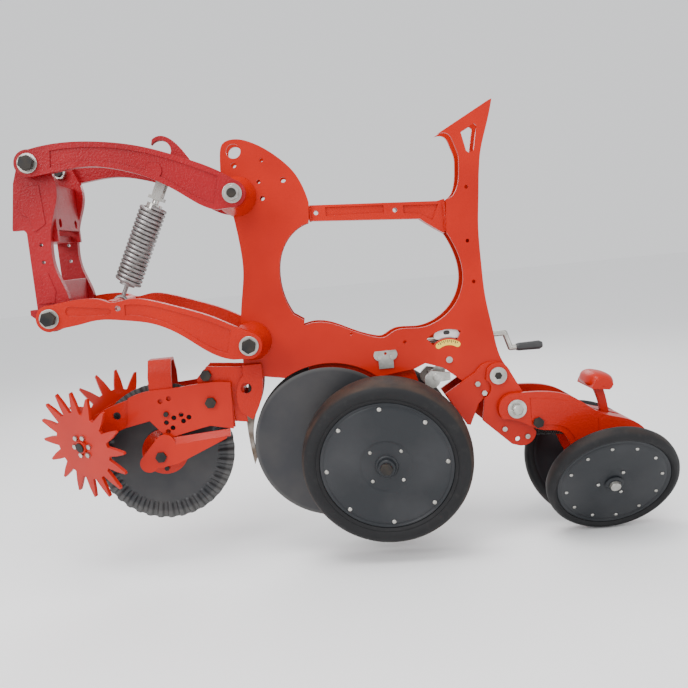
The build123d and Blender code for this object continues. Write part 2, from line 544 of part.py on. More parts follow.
disc_frame = wheel_plane(DISC_AXLE[0], -27, DISC_AXLE[1], DISC_TOE, DISC_CAMBER)
HUB_R = 34.0
HUB_TOP = 13.0             # hub face, from the middle of the disc
SPINDLE_R = 9.0
disc = turned((SPINDLE_R + RUN, -DISC_T / 2), (DISC_R - 14, -DISC_T / 2), (DISC_R, DISC_T / 2 - 1),
              (DISC_R, DISC_T / 2), (SPINDLE_R + RUN, DISC_T / 2))
disc_hub = turned((SPINDLE_R + RUN, DISC_T / 2), (HUB_R, DISC_T / 2), (HUB_R, 6), (HUB_R - 7, HUB_TOP),
                  (SPINDLE_R + RUN, HUB_TOP))
rivets = []
for x, y in polar(HUB_R - 6, 6):
    rivets.append(Pos(x, y, 0) * turned((0, -DISC_T / 2 - 1.5), (4.5, -DISC_T / 2 - 1.5), (4.5, -DISC_T / 2),
                                        (0, -DISC_T / 2)))
spindle = turned((0, -17), (15, -17), (15, -DISC_T / 2 - 1.8), (SPINDLE_R, -DISC_T / 2 - 1.8),
                 (SPINDLE_R, HUB_TOP + END_GAP), (SPINDLE_R + 6, HUB_TOP + END_GAP), (SPINDLE_R + 6, HUB_TOP + 5),
                 (0, HUB_TOP + 5))
spindle = disc_frame * spindle
spindle -= block(DISC_AXLE[0] - 99, DISC_AXLE[0] + 99, -BLADE_HALF, 99, DISC_AXLE[1] - 99, DISC_AXLE[1] + 99)
left_disc = [disc_frame * disc, disc_frame * disc_hub] + [disc_frame * rivet for rivet in rivets]
keep("opener_disc_left", left_disc)
keep("opener_disc_right", [other_side(piece) for piece in left_disc])
keep("carrier_shafts", both(spindle), both(gauge_shaft))

SHIN_HALF = 5.0            # half its thickness, between the converging discs
shin = outline(
    [(DISC_AXLE[0] - 205, DISC_AXLE[1] + 76), (DISC_AXLE[0] - 203, DISC_AXLE[1] + 20),
     (DISC_AXLE[0] - 196, DISC_AXLE[1] - 42)],
    [(DISC_AXLE[0] - 196, DISC_AXLE[1] - 42), (DISC_AXLE[0] - 186, DISC_AXLE[1] - 20)],
    [(DISC_AXLE[0] - 186, DISC_AXLE[1] - 20), (DISC_AXLE[0] - 192, DISC_AXLE[1] + 30),
     (DISC_AXLE[0] - 182, DISC_AXLE[1] + 80)],
    [(DISC_AXLE[0] - 182, DISC_AXLE[1] + 80), near(0, -420)],
    [near(0, -420), near(-18, -420)],
    [near(-18, -420), (DISC_AXLE[0] - 205, DISC_AXLE[1] + 76)],
)
shin_tang = block(SHANK_X - 22, SHANK_X + 6, -SHANK_IN, SHANK_IN, SHANK_Z - 423, SHANK_Z - 404)
keep("shin_guard", slab(shin, -SHIN_HALF, SHIN_HALF) + shin_tang)

# ---------------------------------------------------------------- gauge wheels
RIM_R = 158.0
GAUGE_IN = 8.0 - GAUGE_W
AXLE_R = 9.5
tyre = turned((RIM_R, GAUGE_IN + 6), (RIM_R + 8, GAUGE_IN), (GAUGE_R - 16, GAUGE_IN + 2), (GAUGE_R - 4, GAUGE_IN + 14),
              (GAUGE_R, GAUGE_IN + 34), (GAUGE_R, -34), (GAUGE_R - 3, -12), (GAUGE_R - 10, 2), (GAUGE_R - 22, 8),
              (RIM_R + 10, 7), (RIM_R + 6, 2), (RIM_R, 0))
rim = turned((28, -8), (RIM_R - 6, -8), (RIM_R - 6, GAUGE_IN + 8), (RIM_R, GAUGE_IN + 8), (RIM_R, -2),
             (RIM_R - 12, 0), (60, 0), (54, -2), (28, -2))
gauge_hub = turned((AXLE_R + RUN, -34), (28, -34), (28, -2), (24, 2), (AXLE_R + RUN, 2))
gauge_rivets = [Pos(x, y, 0) * turned((0, 0), (5.5, 0), (4, 2.5), (0, 3)) for x, y in polar(142, 8, 18)]
gauge_rivets += [Pos(x, y, -2) * turned((0, 0), (4.5, 0), (3.5, 2), (0, 2.5)) for x, y in polar(51, 4, 40)]
ARM_H = -38.0              # outer face of a gauge arm, from the rim face
axle_bolt = turned((0, ARM_H - 4), (AXLE_R, ARM_H - 4), (AXLE_R, 2.4), (16, 2.4), (16, 5), (13.5, 5), (13.5, 14), (0, 14))
arm_flat = Circle(27) + Pos(*GAUGE_PIVOT) * Circle(30)
span = math.hypot(*GAUGE_PIVOT)
lean = math.degrees(math.atan2(GAUGE_PIVOT[1], GAUGE_PIVOT[0]))
arm_flat += Pos(GAUGE_PIVOT[0] / 2, GAUGE_PIVOT[1] / 2) * Rot(0, 0, lean) * Rectangle(span, 46)
gauge_arm = Pos(0, 0, ARM_H - 22) * extrude(arm_flat, 22)
gauge_arm += Pos(*GAUGE_PIVOT, ARM_H - 40) * extrude(Circle(28), 40)
gauge_arm -= Pos(*GAUGE_PIVOT, ARM_H - 50) * extrude(Circle(PIVOT_SHAFT_R + RUN), 60)
gauge_arm -= Pos(0, 0, ARM_H - 4) * extrude(Circle(AXLE_R), 10)
gauge_pieces = (("gauge_tyre", [tyre]), ("gauge_rim", [rim, gauge_hub] + gauge_rivets),
                ("gauge_arm", [gauge_arm, axle_bolt]))
for name, pieces in gauge_pieces:
    left = [gauge_frame * piece for piece in pieces]
    keep(name + "_left", left)
    keep(name + "_right", [other_side(piece) for piece in left])

# ---------------------------------------------------------------- depth adjustment
CRANK_END = CRANK_X + 49.0
crank = rod((LEVER_PIVOT[0] - 50, 0, CRANK_Z), (CRANK_END, 0, CRANK_Z), CRANK_ROD / 2)
elbow = (CRANK_END + 12, 0, CRANK_Z - CRANK_THROW)
crank += Pos(CRANK_END, 0, CRANK_Z) * Sphere(CRANK_ROD / 2)
crank += rod((CRANK_END, 0, CRANK_Z), elbow, CRANK_ROD / 2)
crank += Pos(*elbow) * Sphere(CRANK_ROD / 2)
grip_start = (elbow[0] + 14, 0, elbow[2])
grip_end = (elbow[0] + 80, 0, elbow[2])
crank += rod(elbow, (elbow[0] + 70, 0, elbow[2]), CRANK_ROD / 2)
grip = Plane(origin=grip_start, z_dir=(1, 0, 0)) * turned(
    (0, 0), (CRANK_GRIP / 2 - 2, 0), (CRANK_GRIP / 2, 6), (CRANK_GRIP / 2 + 1, 58), (CRANK_GRIP / 2 - 3, 66), (0, 66))
grip -= rod(elbow, (elbow[0] + 70, 0, elbow[2]), CRANK_ROD / 2)
keep("crank_rod", crank)
keep("crank_grip", grip)

NUT_HALF = 12.0
FORK_GAP = 1.0
nut_block = block(LEVER_PIVOT[0] - NUT_HALF, LEVER_PIVOT[0] + NUT_HALF, -NUT_HALF, NUT_HALF,
                  CRANK_Z - NUT_HALF, CRANK_Z + NUT_HALF)
nut_block += pin((LEVER_PIVOT[0], CRANK_Z), 6, -NUT_HALF - 6, -NUT_HALF)
nut_block -= rod((LEVER_PIVOT[0] - 50, 0, CRANK_Z), (CRANK_END, 0, CRANK_Z), CRANK_ROD / 2 + RUN)
keep("depth_nut", nut_block)

LEVER_IN = NUT_HALF + 1.0
lever_face = Pos(*LEVER_PIVOT) * Circle(16)
lever_face += Pos(LEVER_PIVOT[0], LEVER_PIVOT[1] + 36) * Rectangle(24, 64)
lever_face += Pos(LEVER_PIVOT[0] - 20, LEVER_PIVOT[1] - 20) * Rot(0, 0, -45) * Rectangle(24, 60)
lever_face -= Pos(LEVER_PIVOT[0], CRANK_Z) * Rectangle(12 + 2 * FORK_GAP, 26)
depth_lever = slab(lever_face, -LEVER_IN - 5, -LEVER_IN)
depth_lever += pin(LEVER_PIVOT, 7.9, -SHANK_HALF - 3, SHANK_HALF)
depth_lever -= rod((LEVER_PIVOT[0] - 90, 0, CRANK_Z), (CRANK_END, 0, CRANK_Z), CRANK_ROD / 2 + 2)
pointer = Pos(*LEVER_PIVOT) * (Circle(SLOT_R + SLOT_HALF + 8) - Circle(SLOT_R - SLOT_HALF - 6))
sector = polygon(LEVER_PIVOT, (LEVER_PIVOT[0] - 42, LEVER_PIVOT[1] + 100), (LEVER_PIVOT[0] + 42, LEVER_PIVOT[1] + 100))
pointer_spoke = Pos(LEVER_PIVOT[0], LEVER_PIVOT[1] + 24) * Rectangle(20, 52)
depth_lever += slab((pointer & sector) + pointer_spoke, -LEVER_IN - 9, -LEVER_IN - 5)
CLAMP_PLACE = (LEVER_PIVOT[0] - 36, LEVER_PIVOT[1] - 38)
rocker = pin(CLAMP_PLACE, 9, -SHANK_HALF - 14, SHANK_HALF + 14)
depth_lever -= pin(CLAMP_PLACE, 9, -SHANK_HALF - 14, SHANK_HALF + 14)
rocker_body = outline(
    [(CLAMP_PLACE[0] - 22, CLAMP_PLACE[1] + 8), (CLAMP_PLACE[0] - 12, CLAMP_PLACE[1] + 17)],
    [(CLAMP_PLACE[0] - 12, CLAMP_PLACE[1] + 17), (CLAMP_PLACE[0] + 34, CLAMP_PLACE[1] + 8)],
    [(CLAMP_PLACE[0] + 34, CLAMP_PLACE[1] + 8), (CLAMP_PLACE[0] + 34, CLAMP_PLACE[1] - 10)],
    [(CLAMP_PLACE[0] + 34, CLAMP_PLACE[1] - 10), (CLAMP_PLACE[0] + 8, CLAMP_PLACE[1] - 12)],
    [(CLAMP_PLACE[0] + 8, CLAMP_PLACE[1] - 12), (CLAMP_PLACE[0] - 6, CLAMP_PLACE[1] - 26),
     (CLAMP_PLACE[0] - 22, CLAMP_PLACE[1] + 8)],
)
ROCKER_OUT = SHANK_HALF + 12.0
rocker += slab(rocker_body, -ROCKER_OUT, -SHANK_HALF - 2) + slab(rocker_body, SHANK_HALF + 2, ROCKER_OUT)
keep("depth_lever", depth_lever)
keep("depth_rocker", rocker)

TAG_X, TAG_Z = near(317, -400)
TAG_T = 3.0
tag_face = outline(
    [(TAG_X - 25, TAG_Z), (TAG_X - 29, TAG_Z - 10), (TAG_X - 18, TAG_Z - 24)],
    [(TAG_X - 18, TAG_Z - 24), (TAG_X - 18, TAG_Z - 44)],
    [(TAG_X - 18, TAG_Z - 44), (TAG_X + 18, TAG_Z - 44)],
    [(TAG_X + 18, TAG_Z - 44), (TAG_X + 18, TAG_Z - 24)],
    [(TAG_X + 18, TAG_Z - 24), (TAG_X + 29, TAG_Z - 10), (TAG_X + 25, TAG_Z)],
    [(TAG_X + 25, TAG_Z), (TAG_X - 25, TAG_Z)],
)
tag = slab(tag_face - Pos(TAG_X, TAG_Z - 7) * Circle(3.5), -SHANK_HALF - TAG_T, -SHANK_HALF)
tag_bolts = [pin((TAG_X + dx, TAG_Z - 16), 6, -SHANK_HALF - TAG_T - 5, -SHANK_HALF - TAG_T) for dx in (-15, 15)]
keep("tag_plate", tag, tag_bolts)

# ---------------------------------------------------------------- row cleaner and coulter
MOUNT_HALF = 36.0          # outer face of the mount that carries the cleaner plates
MOUNT_WALL = 8.0
PLATE_OUT = 50.0           # outer face of a cleaner side plate
PLATE_T = 6.0
CX, CZ = CLEANER_PIVOT
AX, AZ = COULTER_AXLE
UPPER_BOLT = (CX - 6, CZ + 65)
mount_face = outline(
    [(CX - 28, CZ + 60), (CX - 2, CZ + 86)],
    [(CX - 2, CZ + 86), near(-32, -404)],
    [near(-32, -404), near(-32, -540)],
    [near(-32, -540), (CX - 28, CZ - 40)],
    [(CX - 28, CZ - 40), (CX - 28, CZ + 60)],
)
mount_side = slab(mount_face, -MOUNT_HALF, -MOUNT_HALF + MOUNT_WALL)
hanger_face = outline(
    [near(-30, -400), near(16, -400)],
    [near(16, -400), near(16, -424)],
    [near(16, -424), near(12, -468), near(-18, -534)],
    [near(-18, -534), near(-44, -513)],
    [near(-44, -513), near(-50, -465), near(-30, -424)],
    [near(-30, -424), near(-30, -400)],
)
hanger = slab(hanger_face - Pos(*near(-26, -456)) * Circle(13), -MOUNT_HALF - 8, -MOUNT_HALF)
mount_rib = slab(polygon(near(-50, -410), near(-32, -410), near(-34, -500), near(-44, -530), near(-50, -528)), -MOUNT_HALF + MOUNT_WALL,
                 MOUNT_HALF - MOUNT_WALL)
mount_back = slab(polygon(near(-32, -408), near(18, -412), near(18, -436), near(-32, -452)), -MOUNT_HALF, -SHANK_HALF)
left_mount = mount_side + mount_back + hanger
coulter_mount = left_mount + other_side(left_mount) + mount_rib
for place in (UPPER_BOLT, CLEANER_PIVOT):
    coulter_mount -= pin(place, 8, -99, 99)
keep("coulter_mount", coulter_mount)

plate_face = outline(
    [(CX + 52, CZ + 44), (CX - 5, CZ + 49), (CX - 87, CZ + 44), (CX - 140, CZ + 43), (CX - 195, CZ + 30)],
    [(CX - 195, CZ + 30), (CX - 204, CZ - 40)],
    [(CX - 204, CZ - 40), (CX - 150, CZ - 30)],
    [(CX - 150, CZ - 30), (CX - 112, CZ - 77)],
    [(CX - 112, CZ - 77), (CX - 70, CZ - 68), (CX - 8, CZ - 56)],
    [(CX - 8, CZ - 56), (CX + 48, CZ - 69)],
    [(CX + 48, CZ - 69), (CX + 52, CZ + 44)],
)
ADJUST_HOLES = [(-120, 15), (-99, 20), (-92, -28), (-74, -22), (-56, -30), (-70, -38), (-111, -38), (-97, -52),
                (-109, -60)]
for dx, dz in ADJUST_HOLES:
    plate_face -= Pos(CX + dx, CZ + dz) * Circle(6)
LOCK_PIN = (CX - 109, CZ - 17)
side_plate = slab(plate_face, -PLATE_OUT, -PLATE_OUT + PLATE_T)
rear_flange = block(CX + 46, CX + 52, -PLATE_OUT + PLATE_T, -MOUNT_HALF - 2, CZ - 66, CZ + 42)
rear_flange -= slab(hanger_face, -MOUNT_HALF - 9, -MOUNT_HALF)
side_plate += rear_flange
side_plate -= pin(LOCK_PIN, 6, -99, 99)
side_plate -= pin(CLEANER_PIVOT, 8 + RUN, -99, 99)
GUSSET_OUT = 62.0
gusset = loft([
    Plane.YZ.offset(CX - 108) * polygon((-PLATE_OUT, CZ - 76), (-GUSSET_OUT, CZ - 92), (-GUSSET_OUT + 5, CZ - 95),
                                        (-PLATE_OUT + 6, CZ - 78)),
    Plane.YZ.offset(CX + 40) * polygon((-PLATE_OUT, CZ - 67.5), (-GUSSET_OUT, CZ - 82), (-GUSSET_OUT + 5, CZ - 85),
                                       (-PLATE_OUT + 6, CZ - 69)),
], ruled=True)
fork_face = Pos(AX, AZ) * Circle(26) + Pos(AX - 30, AZ - 13) * Circle(22)
fork_face += make_hull([*(Pos(AX - 30, AZ - 13) * Circle(22)).edges(), *(Pos(CX - 118, CZ - 88) * Circle(24)).edges()])
fork_face += polygon((CX - 108, CZ - 92), (CX + 30, CZ - 83), (CX + 30, CZ - 88), (AX + 40, AZ - 20), (AX + 10, AZ - 24))
fork = slab(fork_face, -GUSSET_OUT, -GUSSET_OUT + 6)
fork_neck = block(CX - 140, CX - 100, -GUSSET_OUT, -PLATE_OUT, CZ - 84, CZ - 72)
coulter_arm = fork + gusset + fork_neck
coulter_arm -= side_plate
coulter_arm -= pin(COULTER_AXLE, 8, -99, 99)
keep("cleaner_plates", both(side_plate))
keep("coulter_arms", both(coulter_arm))

coulter_axle = pin(COULTER_AXLE, 8, -GUSSET_OUT - 5, GUSSET_OUT + 5)
for side in (-1, 1):
    y = side * (GUSSET_OUT + 5)
    coulter_axle += hexagon(COULTER_AXLE, 24, min(y, side * GUSSET_OUT), max(y, side * GUSSET_OUT))
    spacer = ring(COULTER_AXLE, 14, 8, 26.3, GUSSET_OUT - 6)
    coulter_axle += spacer if side == 1 else other_side(spacer)
keep("coulter_axle", coulter_axle)
flange = ring(COULTER_AXLE, 57, 8 + RUN, -COULTER_T / 2 - 5, -COULTER_T / 2)
flange += ring(COULTER_AXLE, 24, 8 + RUN, -26, -COULTER_T / 2 - 5)
for x, y in polar(42, 4, 30):
    flange -= pin((COULTER_AXLE[0] + x, COULTER_AXLE[1] + y), 6, -10, 0)
keep("coulter_disc", ring(COULTER_AXLE, COULTER_R, 8 + RUN, -COULTER_T / 2, COULTER_T / 2), both(flange))

ARM_PLATE_OUT = PLATE_OUT - PLATE_T - 0.5
ARM_PLATE_T = 6.0
cleaner_face = outline(
    [(CX - 60, CZ + 36), (CX - 146, CZ + 36), (CX - 217, CZ + 20), (CX - 267, CZ + 2), (CX - 280, CZ - 5)],
    [(CX - 280, CZ - 5), (CX - 292, CZ - 36), (CX - 268, CZ - 66)],
    [(CX - 268, CZ - 66), (CX - 230, CZ - 49), (CX - 154, CZ - 29), (CX - 60, CZ - 20)],
    [(CX - 60, CZ - 20), (CX + 6, CZ - 22)],
    [(CX + 6, CZ - 22), (CX + 22, CZ), (CX + 6, CZ + 22)],
    [(CX + 6, CZ + 22), (CX - 60, CZ + 36)],
)
cleaner_arm = slab(cleaner_face, -ARM_PLATE_OUT, -ARM_PLATE_OUT + ARM_PLATE_T)
cleaner_arm -= pin((CX - 228, CZ - 11), 9.5, -99, 0)
cleaner_arm -= pin(CLEANER_PIVOT, 8 + RUN, -99, 99)
STRAP_Y = ARM_PLATE_OUT - ARM_PLATE_T
strap_path = [(-ARM_PLATE_OUT, 34), (-ARM_PLATE_OUT, 74), (-18, 112), (18, 112), (ARM_PLATE_OUT, 74),
              (ARM_PLATE_OUT, 34), (ARM_PLATE_OUT - 6, 34), (ARM_PLATE_OUT - 6, 71), (15, 106), (-15, 106),
              (-ARM_PLATE_OUT + 6, 71), (-ARM_PLATE_OUT + 6, 34)]
strap = extrude(Plane(origin=(CX - 144, 0, CZ), x_dir=(0, 1, 0), z_dir=(1, 0, 0)) * polygon(
    *[(y, z) for y, z in strap_path]), 56)
strap -= slab(cleaner_face, -ARM_PLATE_OUT - 1, ARM_PLATE_OUT + 1)

spike_frame = wheel_plane(CX - 306, -85, CZ - 67, SPIKE_TOE, SPIKE_CAMBER)
far_spike_frame = wheel_plane(CX - 254, -85, CZ - 52, SPIKE_TOE, SPIKE_CAMBER)


def spiked_wheel():
    """Flat wheel with long raked teeth and a bolted hub."""
    face = Circle(SPIKE_ROOT_R)
    for i in range(SPIKE_TEETH):
        tooth = make_face(Polyline(
            (SPIKE_ROOT_R - 8, -13), (SPIKE_ROOT_R + 26, -5), (SPIKE_R, 4), (SPIKE_R - 3, 9), (SPIKE_ROOT_R + 20, 12),
            (SPIKE_ROOT_R - 8, 13), close=True))
        face += Rot(0, 0, i * 360 / SPIKE_TEETH) * tooth
    return extrude(face - Circle(9 + RUN), -SPIKE_T)


def spike_hub():
    """Hub behind a spiked wheel."""
    return turned((9 + RUN, -34), (22, -34), (30, -14), (30, -SPIKE_T), (9 + RUN, -SPIKE_T))


def spike_cap_and_bolts():
    """Dust cap and the six bolts that hold the wheel to its hub."""
    pieces = [turned((9 + RUN, 0), (17, 0), (15, 7), (9 + RUN, 7))]
    pieces += [Pos(x, y, 0) * extrude(RegularPolygon(6.5, 6), 5) for x, y in polar(25, 6, 10)]
    return pieces


def spike_axle(frame):
    """Stub axle from the arm plate to the wheel."""
    axle = turned((0, -36 - 44), (13, -36 - 44), (13, -34.3), (9, -34.3), (9, 7.3), (12, 7.3), (12, 11), (0, 11))
    return frame * axle


left_axle = spike_axle(spike_frame)
right_axle = other_side(spike_axle(far_spike_frame))
cleaner_frame = cleaner_arm + other_side(cleaner_arm) + strap
keep("cleaner_frame", cleaner_frame - left_axle - right_axle)
inner_cut = block(CX - 400, CX - 100, -STRAP_Y, STRAP_Y, CZ - 200, CZ + 100)
keep("cleaner_axles", left_axle - inner_cut, right_axle - inner_cut)
for frame, side in ((spike_frame, "left"), (far_spike_frame, "right")):
    pieces = [frame * spiked_wheel(), frame * spike_hub()] + [frame * piece for piece in spike_cap_and_bolts()]
    if side == "right":
        pieces = [other_side(piece) for piece in pieces]
    keep("spiked_wheel_" + side, pieces)

cleaner_bolts = []
NUT_END = MOUNT_HALF - MOUNT_WALL - 9  # inner end of the nuts, clear of the coulter
for place, reach in ((UPPER_BOLT, MOUNT_HALF), (CLEANER_PIVOT, PLATE_OUT)):
    bolt = pin(place, 8, -reach, -NUT_END) + hexagon(place, 24, -reach - 10, -reach)
    bolt += hexagon(place, 24, -MOUNT_HALF + MOUNT_WALL, -NUT_END)
    cleaner_bolts += both(bolt)
lock = pin(LOCK_PIN, 6, -PLATE_OUT - 8, -PLATE_OUT + PLATE_T)
keep("cleaner_bolts", cleaner_bolts, both(lock))

# ---------------------------------------------------------------- tail and closing wheels
TX, TZ = TAIL_PIN
QX, QZ = CLOSE_PIVOT
TAIL_OUT = 40.0
tail_mount = outline(
    [(TX - 130, TZ - 34), (TX - 52, TZ + 12)],
    [(TX - 52, TZ + 12), (TX, TZ + 32), (TX + 31, TZ)],
    [(TX + 31, TZ), (TX - 50, TZ - 66)],
    [(TX - 50, TZ - 66), (TX - 74, TZ - 118)],
    [(TX - 74, TZ - 118), (TX - 82, TZ - 116)],
    [(TX - 82, TZ - 116), (TX - 130, TZ - 34)],
)
mount_plate = slab(tail_mount, -TAIL_OUT, -SHANK_HALF)
tail_nuts = [hexagon(place, 12, -TAIL_OUT - 6, -TAIL_OUT) for place in ((TX - 50, TZ - 17), (TX - 35, TZ - 41))]
tail_face = outline(
    [(TX - 26, TZ + 16), (TX, TZ + 31), (TX + 28, TZ + 12)],
    [(TX + 28, TZ + 12), (QX + 30, QZ + 20)],
    [(QX + 30, QZ + 20), (QX + 34, QZ - 30), (QX + 48, QZ - 66)],
    [(QX + 48, QZ - 66), (QX + 40, QZ - 84), (QX + 4, QZ - 96)],
    [(QX + 4, QZ - 96), (QX - 14, QZ - 90)],
    [(QX - 14, QZ - 90), (QX - 82, QZ - 24)],
    [(QX - 82, QZ - 24), (TX - 26, TZ + 16)],
)
TAIL_PLATE_OUT = TAIL_OUT + 8.0
tail_face -= Pos(QX + 1, QZ - 79) * Circle(6)
tail_plate = slab(tail_face, -TAIL_PLATE_OUT, -TAIL_OUT)
for nut in tail_nuts:
    tail_plate -= nut
tail_plate -= slab(Pos(TX - 43, TZ - 29) * Circle(24), -99, 0)
tail_plate -= pin((QX + 25, QZ - 74), 6, -99, 0)
for place, radius in ((TAIL_PIN, 10.0), (CLOSE_PIVOT, 12.0)):
    tail_plate -= pin(place, radius, -99, 0)
mount_plate -= pin(TAIL_PIN, 10.0, -99, 0)
for name in ("shank_plate_left", "shank_plate_right"):
    parts[name] -= pin(TAIL_PIN, 10.0, -99, 99)
keep("tail_plates", both(mount_plate), both(tail_plate))
tail_bolt = pin(TAIL_PIN, 10, -TAIL_PLATE_OUT, TAIL_PLATE_OUT)
for piece in both(ring(TAIL_PIN, 21, 7, -TAIL_PLATE_OUT - 6, -TAIL_PLATE_OUT)):
    tail_bolt += piece
CHEEK_IN = TAIL_PLATE_OUT + 2.0
CHEEK_T = 14.0
CHEEK_OUT = CHEEK_IN + CHEEK_T
close_bolt = pin(CLOSE_PIVOT, 12, -CHEEK_OUT - 3, CHEEK_OUT + 3)
for piece in both(ring(CLOSE_PIVOT, 23, 12, -CHEEK_OUT - 3, -CHEEK_OUT)) + both(
        hexagon(CLOSE_PIVOT, 24, -CHEEK_OUT - 10, -CHEEK_OUT - 3)):
    close_bolt += piece
spacers = ring(CLOSE_PIVOT, 20, 12, -CHEEK_IN, -TAIL_PLATE_OUT)
SPRING_HOOK = (QX + 25, QZ - 74)
plate_bolts = [pin(place, 6, -TAIL_PLATE_OUT - 5, -TAIL_PLATE_OUT) for place in ((QX - 30, QZ - 50), SPRING_HOOK)]
hook_pin = pin(SPRING_HOOK, 6, -TAIL_PLATE_OUT, TAIL_PLATE_OUT)
small_bolts = [piece for bolt in plate_bolts + tail_nuts for piece in both(bolt)]
keep("tail_bolts", tail_bolt, close_bolt, hook_pin, both(spacers), small_bolts)

cheek_face = outline(
    [(QX - 36, QZ - 22), (QX - 40, QZ + 18), (QX - 10, QZ + 38)],
    [(QX - 10, QZ + 38), (QX + 52, QZ + 37), (QX + 134, QZ + 18), (QX + 181, QZ - 15), (QX + 201, QZ - 29),
     (QX + 259, QZ - 49), (QX + 311, QZ - 81)],
    [(QX + 311, QZ - 81), (QX + 318, QZ - 110), (QX + 285, QZ - 140)],
    [(QX + 285, QZ - 140), (QX + 240, QZ - 182), (QX + 185, QZ - 182)],
    [(QX + 185, QZ - 182), (QX + 145, QZ - 147), (QX + 125, QZ - 97), (QX + 105, QZ - 68), (QX + 57, QZ - 58),
     (QX + 20, QZ - 40), (QX - 36, QZ - 22)],
)
cheek = slab(cheek_face, -CHEEK_OUT, -CHEEK_IN)
cheek -= pin(CLOSE_PIVOT, 12 + RUN, -99, 0)
pad_face = outline(
    [(QX + 34, QZ + 23), (QX + 90, QZ + 15), (QX + 130, QZ + 4), (QX + 172, QZ - 24), (QX + 196, QZ - 42)],
    [(QX + 196, QZ - 42), (QX + 196, QZ - 164)],
    [(QX + 196, QZ - 164), (QX + 160, QZ - 140), (QX + 140, QZ - 92), (QX + 113, QZ - 56), (QX + 62, QZ - 44),
     (QX + 34, QZ - 32)],
    [(QX + 34, QZ - 32), (QX + 34, QZ + 23)],
)
cheek += slab(pad_face, -CHEEK_OUT - 2.5, -CHEEK_OUT)
bridge_face = cheek_face & polygon((QX + 150, QZ + 20), (QX + 330, QZ + 20), (QX + 330, QZ - 200), (QX + 170, QZ - 200))
LEVER_SLOT = 9.0
bridge = slab(bridge_face, -CHEEK_IN, CHEEK_IN)
cavity = polygon((QX + 171, QZ - 28), (QX + 200, QZ - 43), (QX + 256, QZ - 63), (QX + 300, QZ - 90), (QX + 302, QZ - 112),
                 (QX + 280, QZ - 130), (QX + 235, QZ - 168), (QX + 195, QZ - 168), (QX + 178, QZ - 150))
bridge -= slab(cavity, -CHEEK_IN + 8, CHEEK_IN - 8)
STEM_PIVOT = (QX + 232, QZ - 92)
bridge -= block(STEM_PIVOT[0] - 45, STEM_PIVOT[0] + 40, -LEVER_SLOT, LEVER_SLOT, STEM_PIVOT[1], QZ + 40)
stop_bolt_place = (QX + 49, QZ - 38)
stop_bolt = hexagon(stop_bolt_place, 24, -CHEEK_OUT - 10, -CHEEK_OUT - 2.5, 15) + pin(
    stop_bolt_place, 8, -CHEEK_OUT - 2.5, -CHEEK_IN)
cheek -= pin(stop_bolt_place, 8, -99, 0)
close_frame = wheel_plane(QX + 211, -110, QZ - 195, CLOSE_TOE, CLOSE_CAMBER)
CLOSE_AXLE_R = 9.0
close_spindle = close_frame * turned((0, -80), (15, -80), (15, -CLOSE_W + 1.7), (CLOSE_AXLE_R, -CLOSE_W + 1.7),
                                     (CLOSE_AXLE_R, 6.3), (14, 6.3), (12, 15), (0, 15))
close_boss = close_frame * turned((0, -78), (26, -78), (24, -CLOSE_W - 6), (0, -CLOSE_W - 6))
closing_left = (cheek + (close_boss - block(QX, QX + 400, -CHEEK_IN, 99, QZ - 400, QZ + 99))) - close_spindle
spindle_in = close_spindle - block(QX, QX + 400, -CHEEK_IN + 8, 99, QZ - 400, QZ + 99)
bridge -= close_spindle
bridge -= other_side(close_spindle)
lever_pin = pin(STEM_PIVOT, 6, -CHEEK_IN, CHEEK_IN)
closing_middle = bridge - lever_pin
keep("closing_arm", (closing_left + closing_middle) + other_side(closing_left))
keep("closing_spindles", both(spindle_in))
keep("closing_arm_bolts", both(stop_bolt), lever_pin)

close_tyre = turned((138, -CLOSE_W + 6), (142, -CLOSE_W), (CLOSE_R - 8, -CLOSE_W), (CLOSE_R, -CLOSE_W + 10),
                    (CLOSE_R, -4), (CLOSE_R - 4, 4), (CLOSE_R - 12, 6), (142, 4), (138, 0))
close_rim = turned((22, -6), (132, -6), (132, -CLOSE_W + 6), (138, -CLOSE_W + 6), (138, 0), (40, 0), (22, 0))
close_hub = turned((CLOSE_AXLE_R + RUN, -CLOSE_W + 2), (22, -CLOSE_W + 2), (22, 3), (18, 6), (CLOSE_AXLE_R + RUN, 6))
close_rivets = [Pos(x, y, 0) * turned((0, 0), (4.5, 0), (3.5, 2.5), (0, 3)) for x, y in
                polar(115, 12, 10) + polar(38, 3, 40)]
for name, pieces in (("closing_tyre", [close_tyre]), ("closing_rim", [close_rim, close_hub] + close_rivets)):
    left = [close_frame * piece for piece in pieces]
    keep(name + "_left", left)
    keep(name + "_right", [other_side(piece) for piece in left])

CLOSE_SPRING_R = 10.0
SPRING_START = (SPRING_HOOK[0] + 9, 0, SPRING_HOOK[1])
SPRING_END = (QX + 190, 0, QZ - 88)
closing_spring = rod(SPRING_START, SPRING_END, CLOSE_SPRING_R) - slab(bridge_face, -CHEEK_IN, CHEEK_IN)
keep("closing_spring", closing_spring)
STEM_T = 14.0
stem = outline(
    [(STEM_PIVOT[0] - 14, STEM_PIVOT[1] - 4), (STEM_PIVOT[0], STEM_PIVOT[1] - 18), (STEM_PIVOT[0] + 14, STEM_PIVOT[1] - 4)],
    [(STEM_PIVOT[0] + 14, STEM_PIVOT[1] - 4), (STEM_PIVOT[0] + 12, STEM_PIVOT[1] + 60),
     (STEM_PIVOT[0] - 2, STEM_PIVOT[1] + 124)],
    [(STEM_PIVOT[0] - 2, STEM_PIVOT[1] + 124), (STEM_PIVOT[0] - 30, STEM_PIVOT[1] + 126)],
    [(STEM_PIVOT[0] - 30, STEM_PIVOT[1] + 126), (STEM_PIVOT[0] - 8, STEM_PIVOT[1] + 60),
     (STEM_PIVOT[0] - 14, STEM_PIVOT[1] - 4)],
)
lever = slab(stem, -STEM_T / 2, STEM_T / 2)
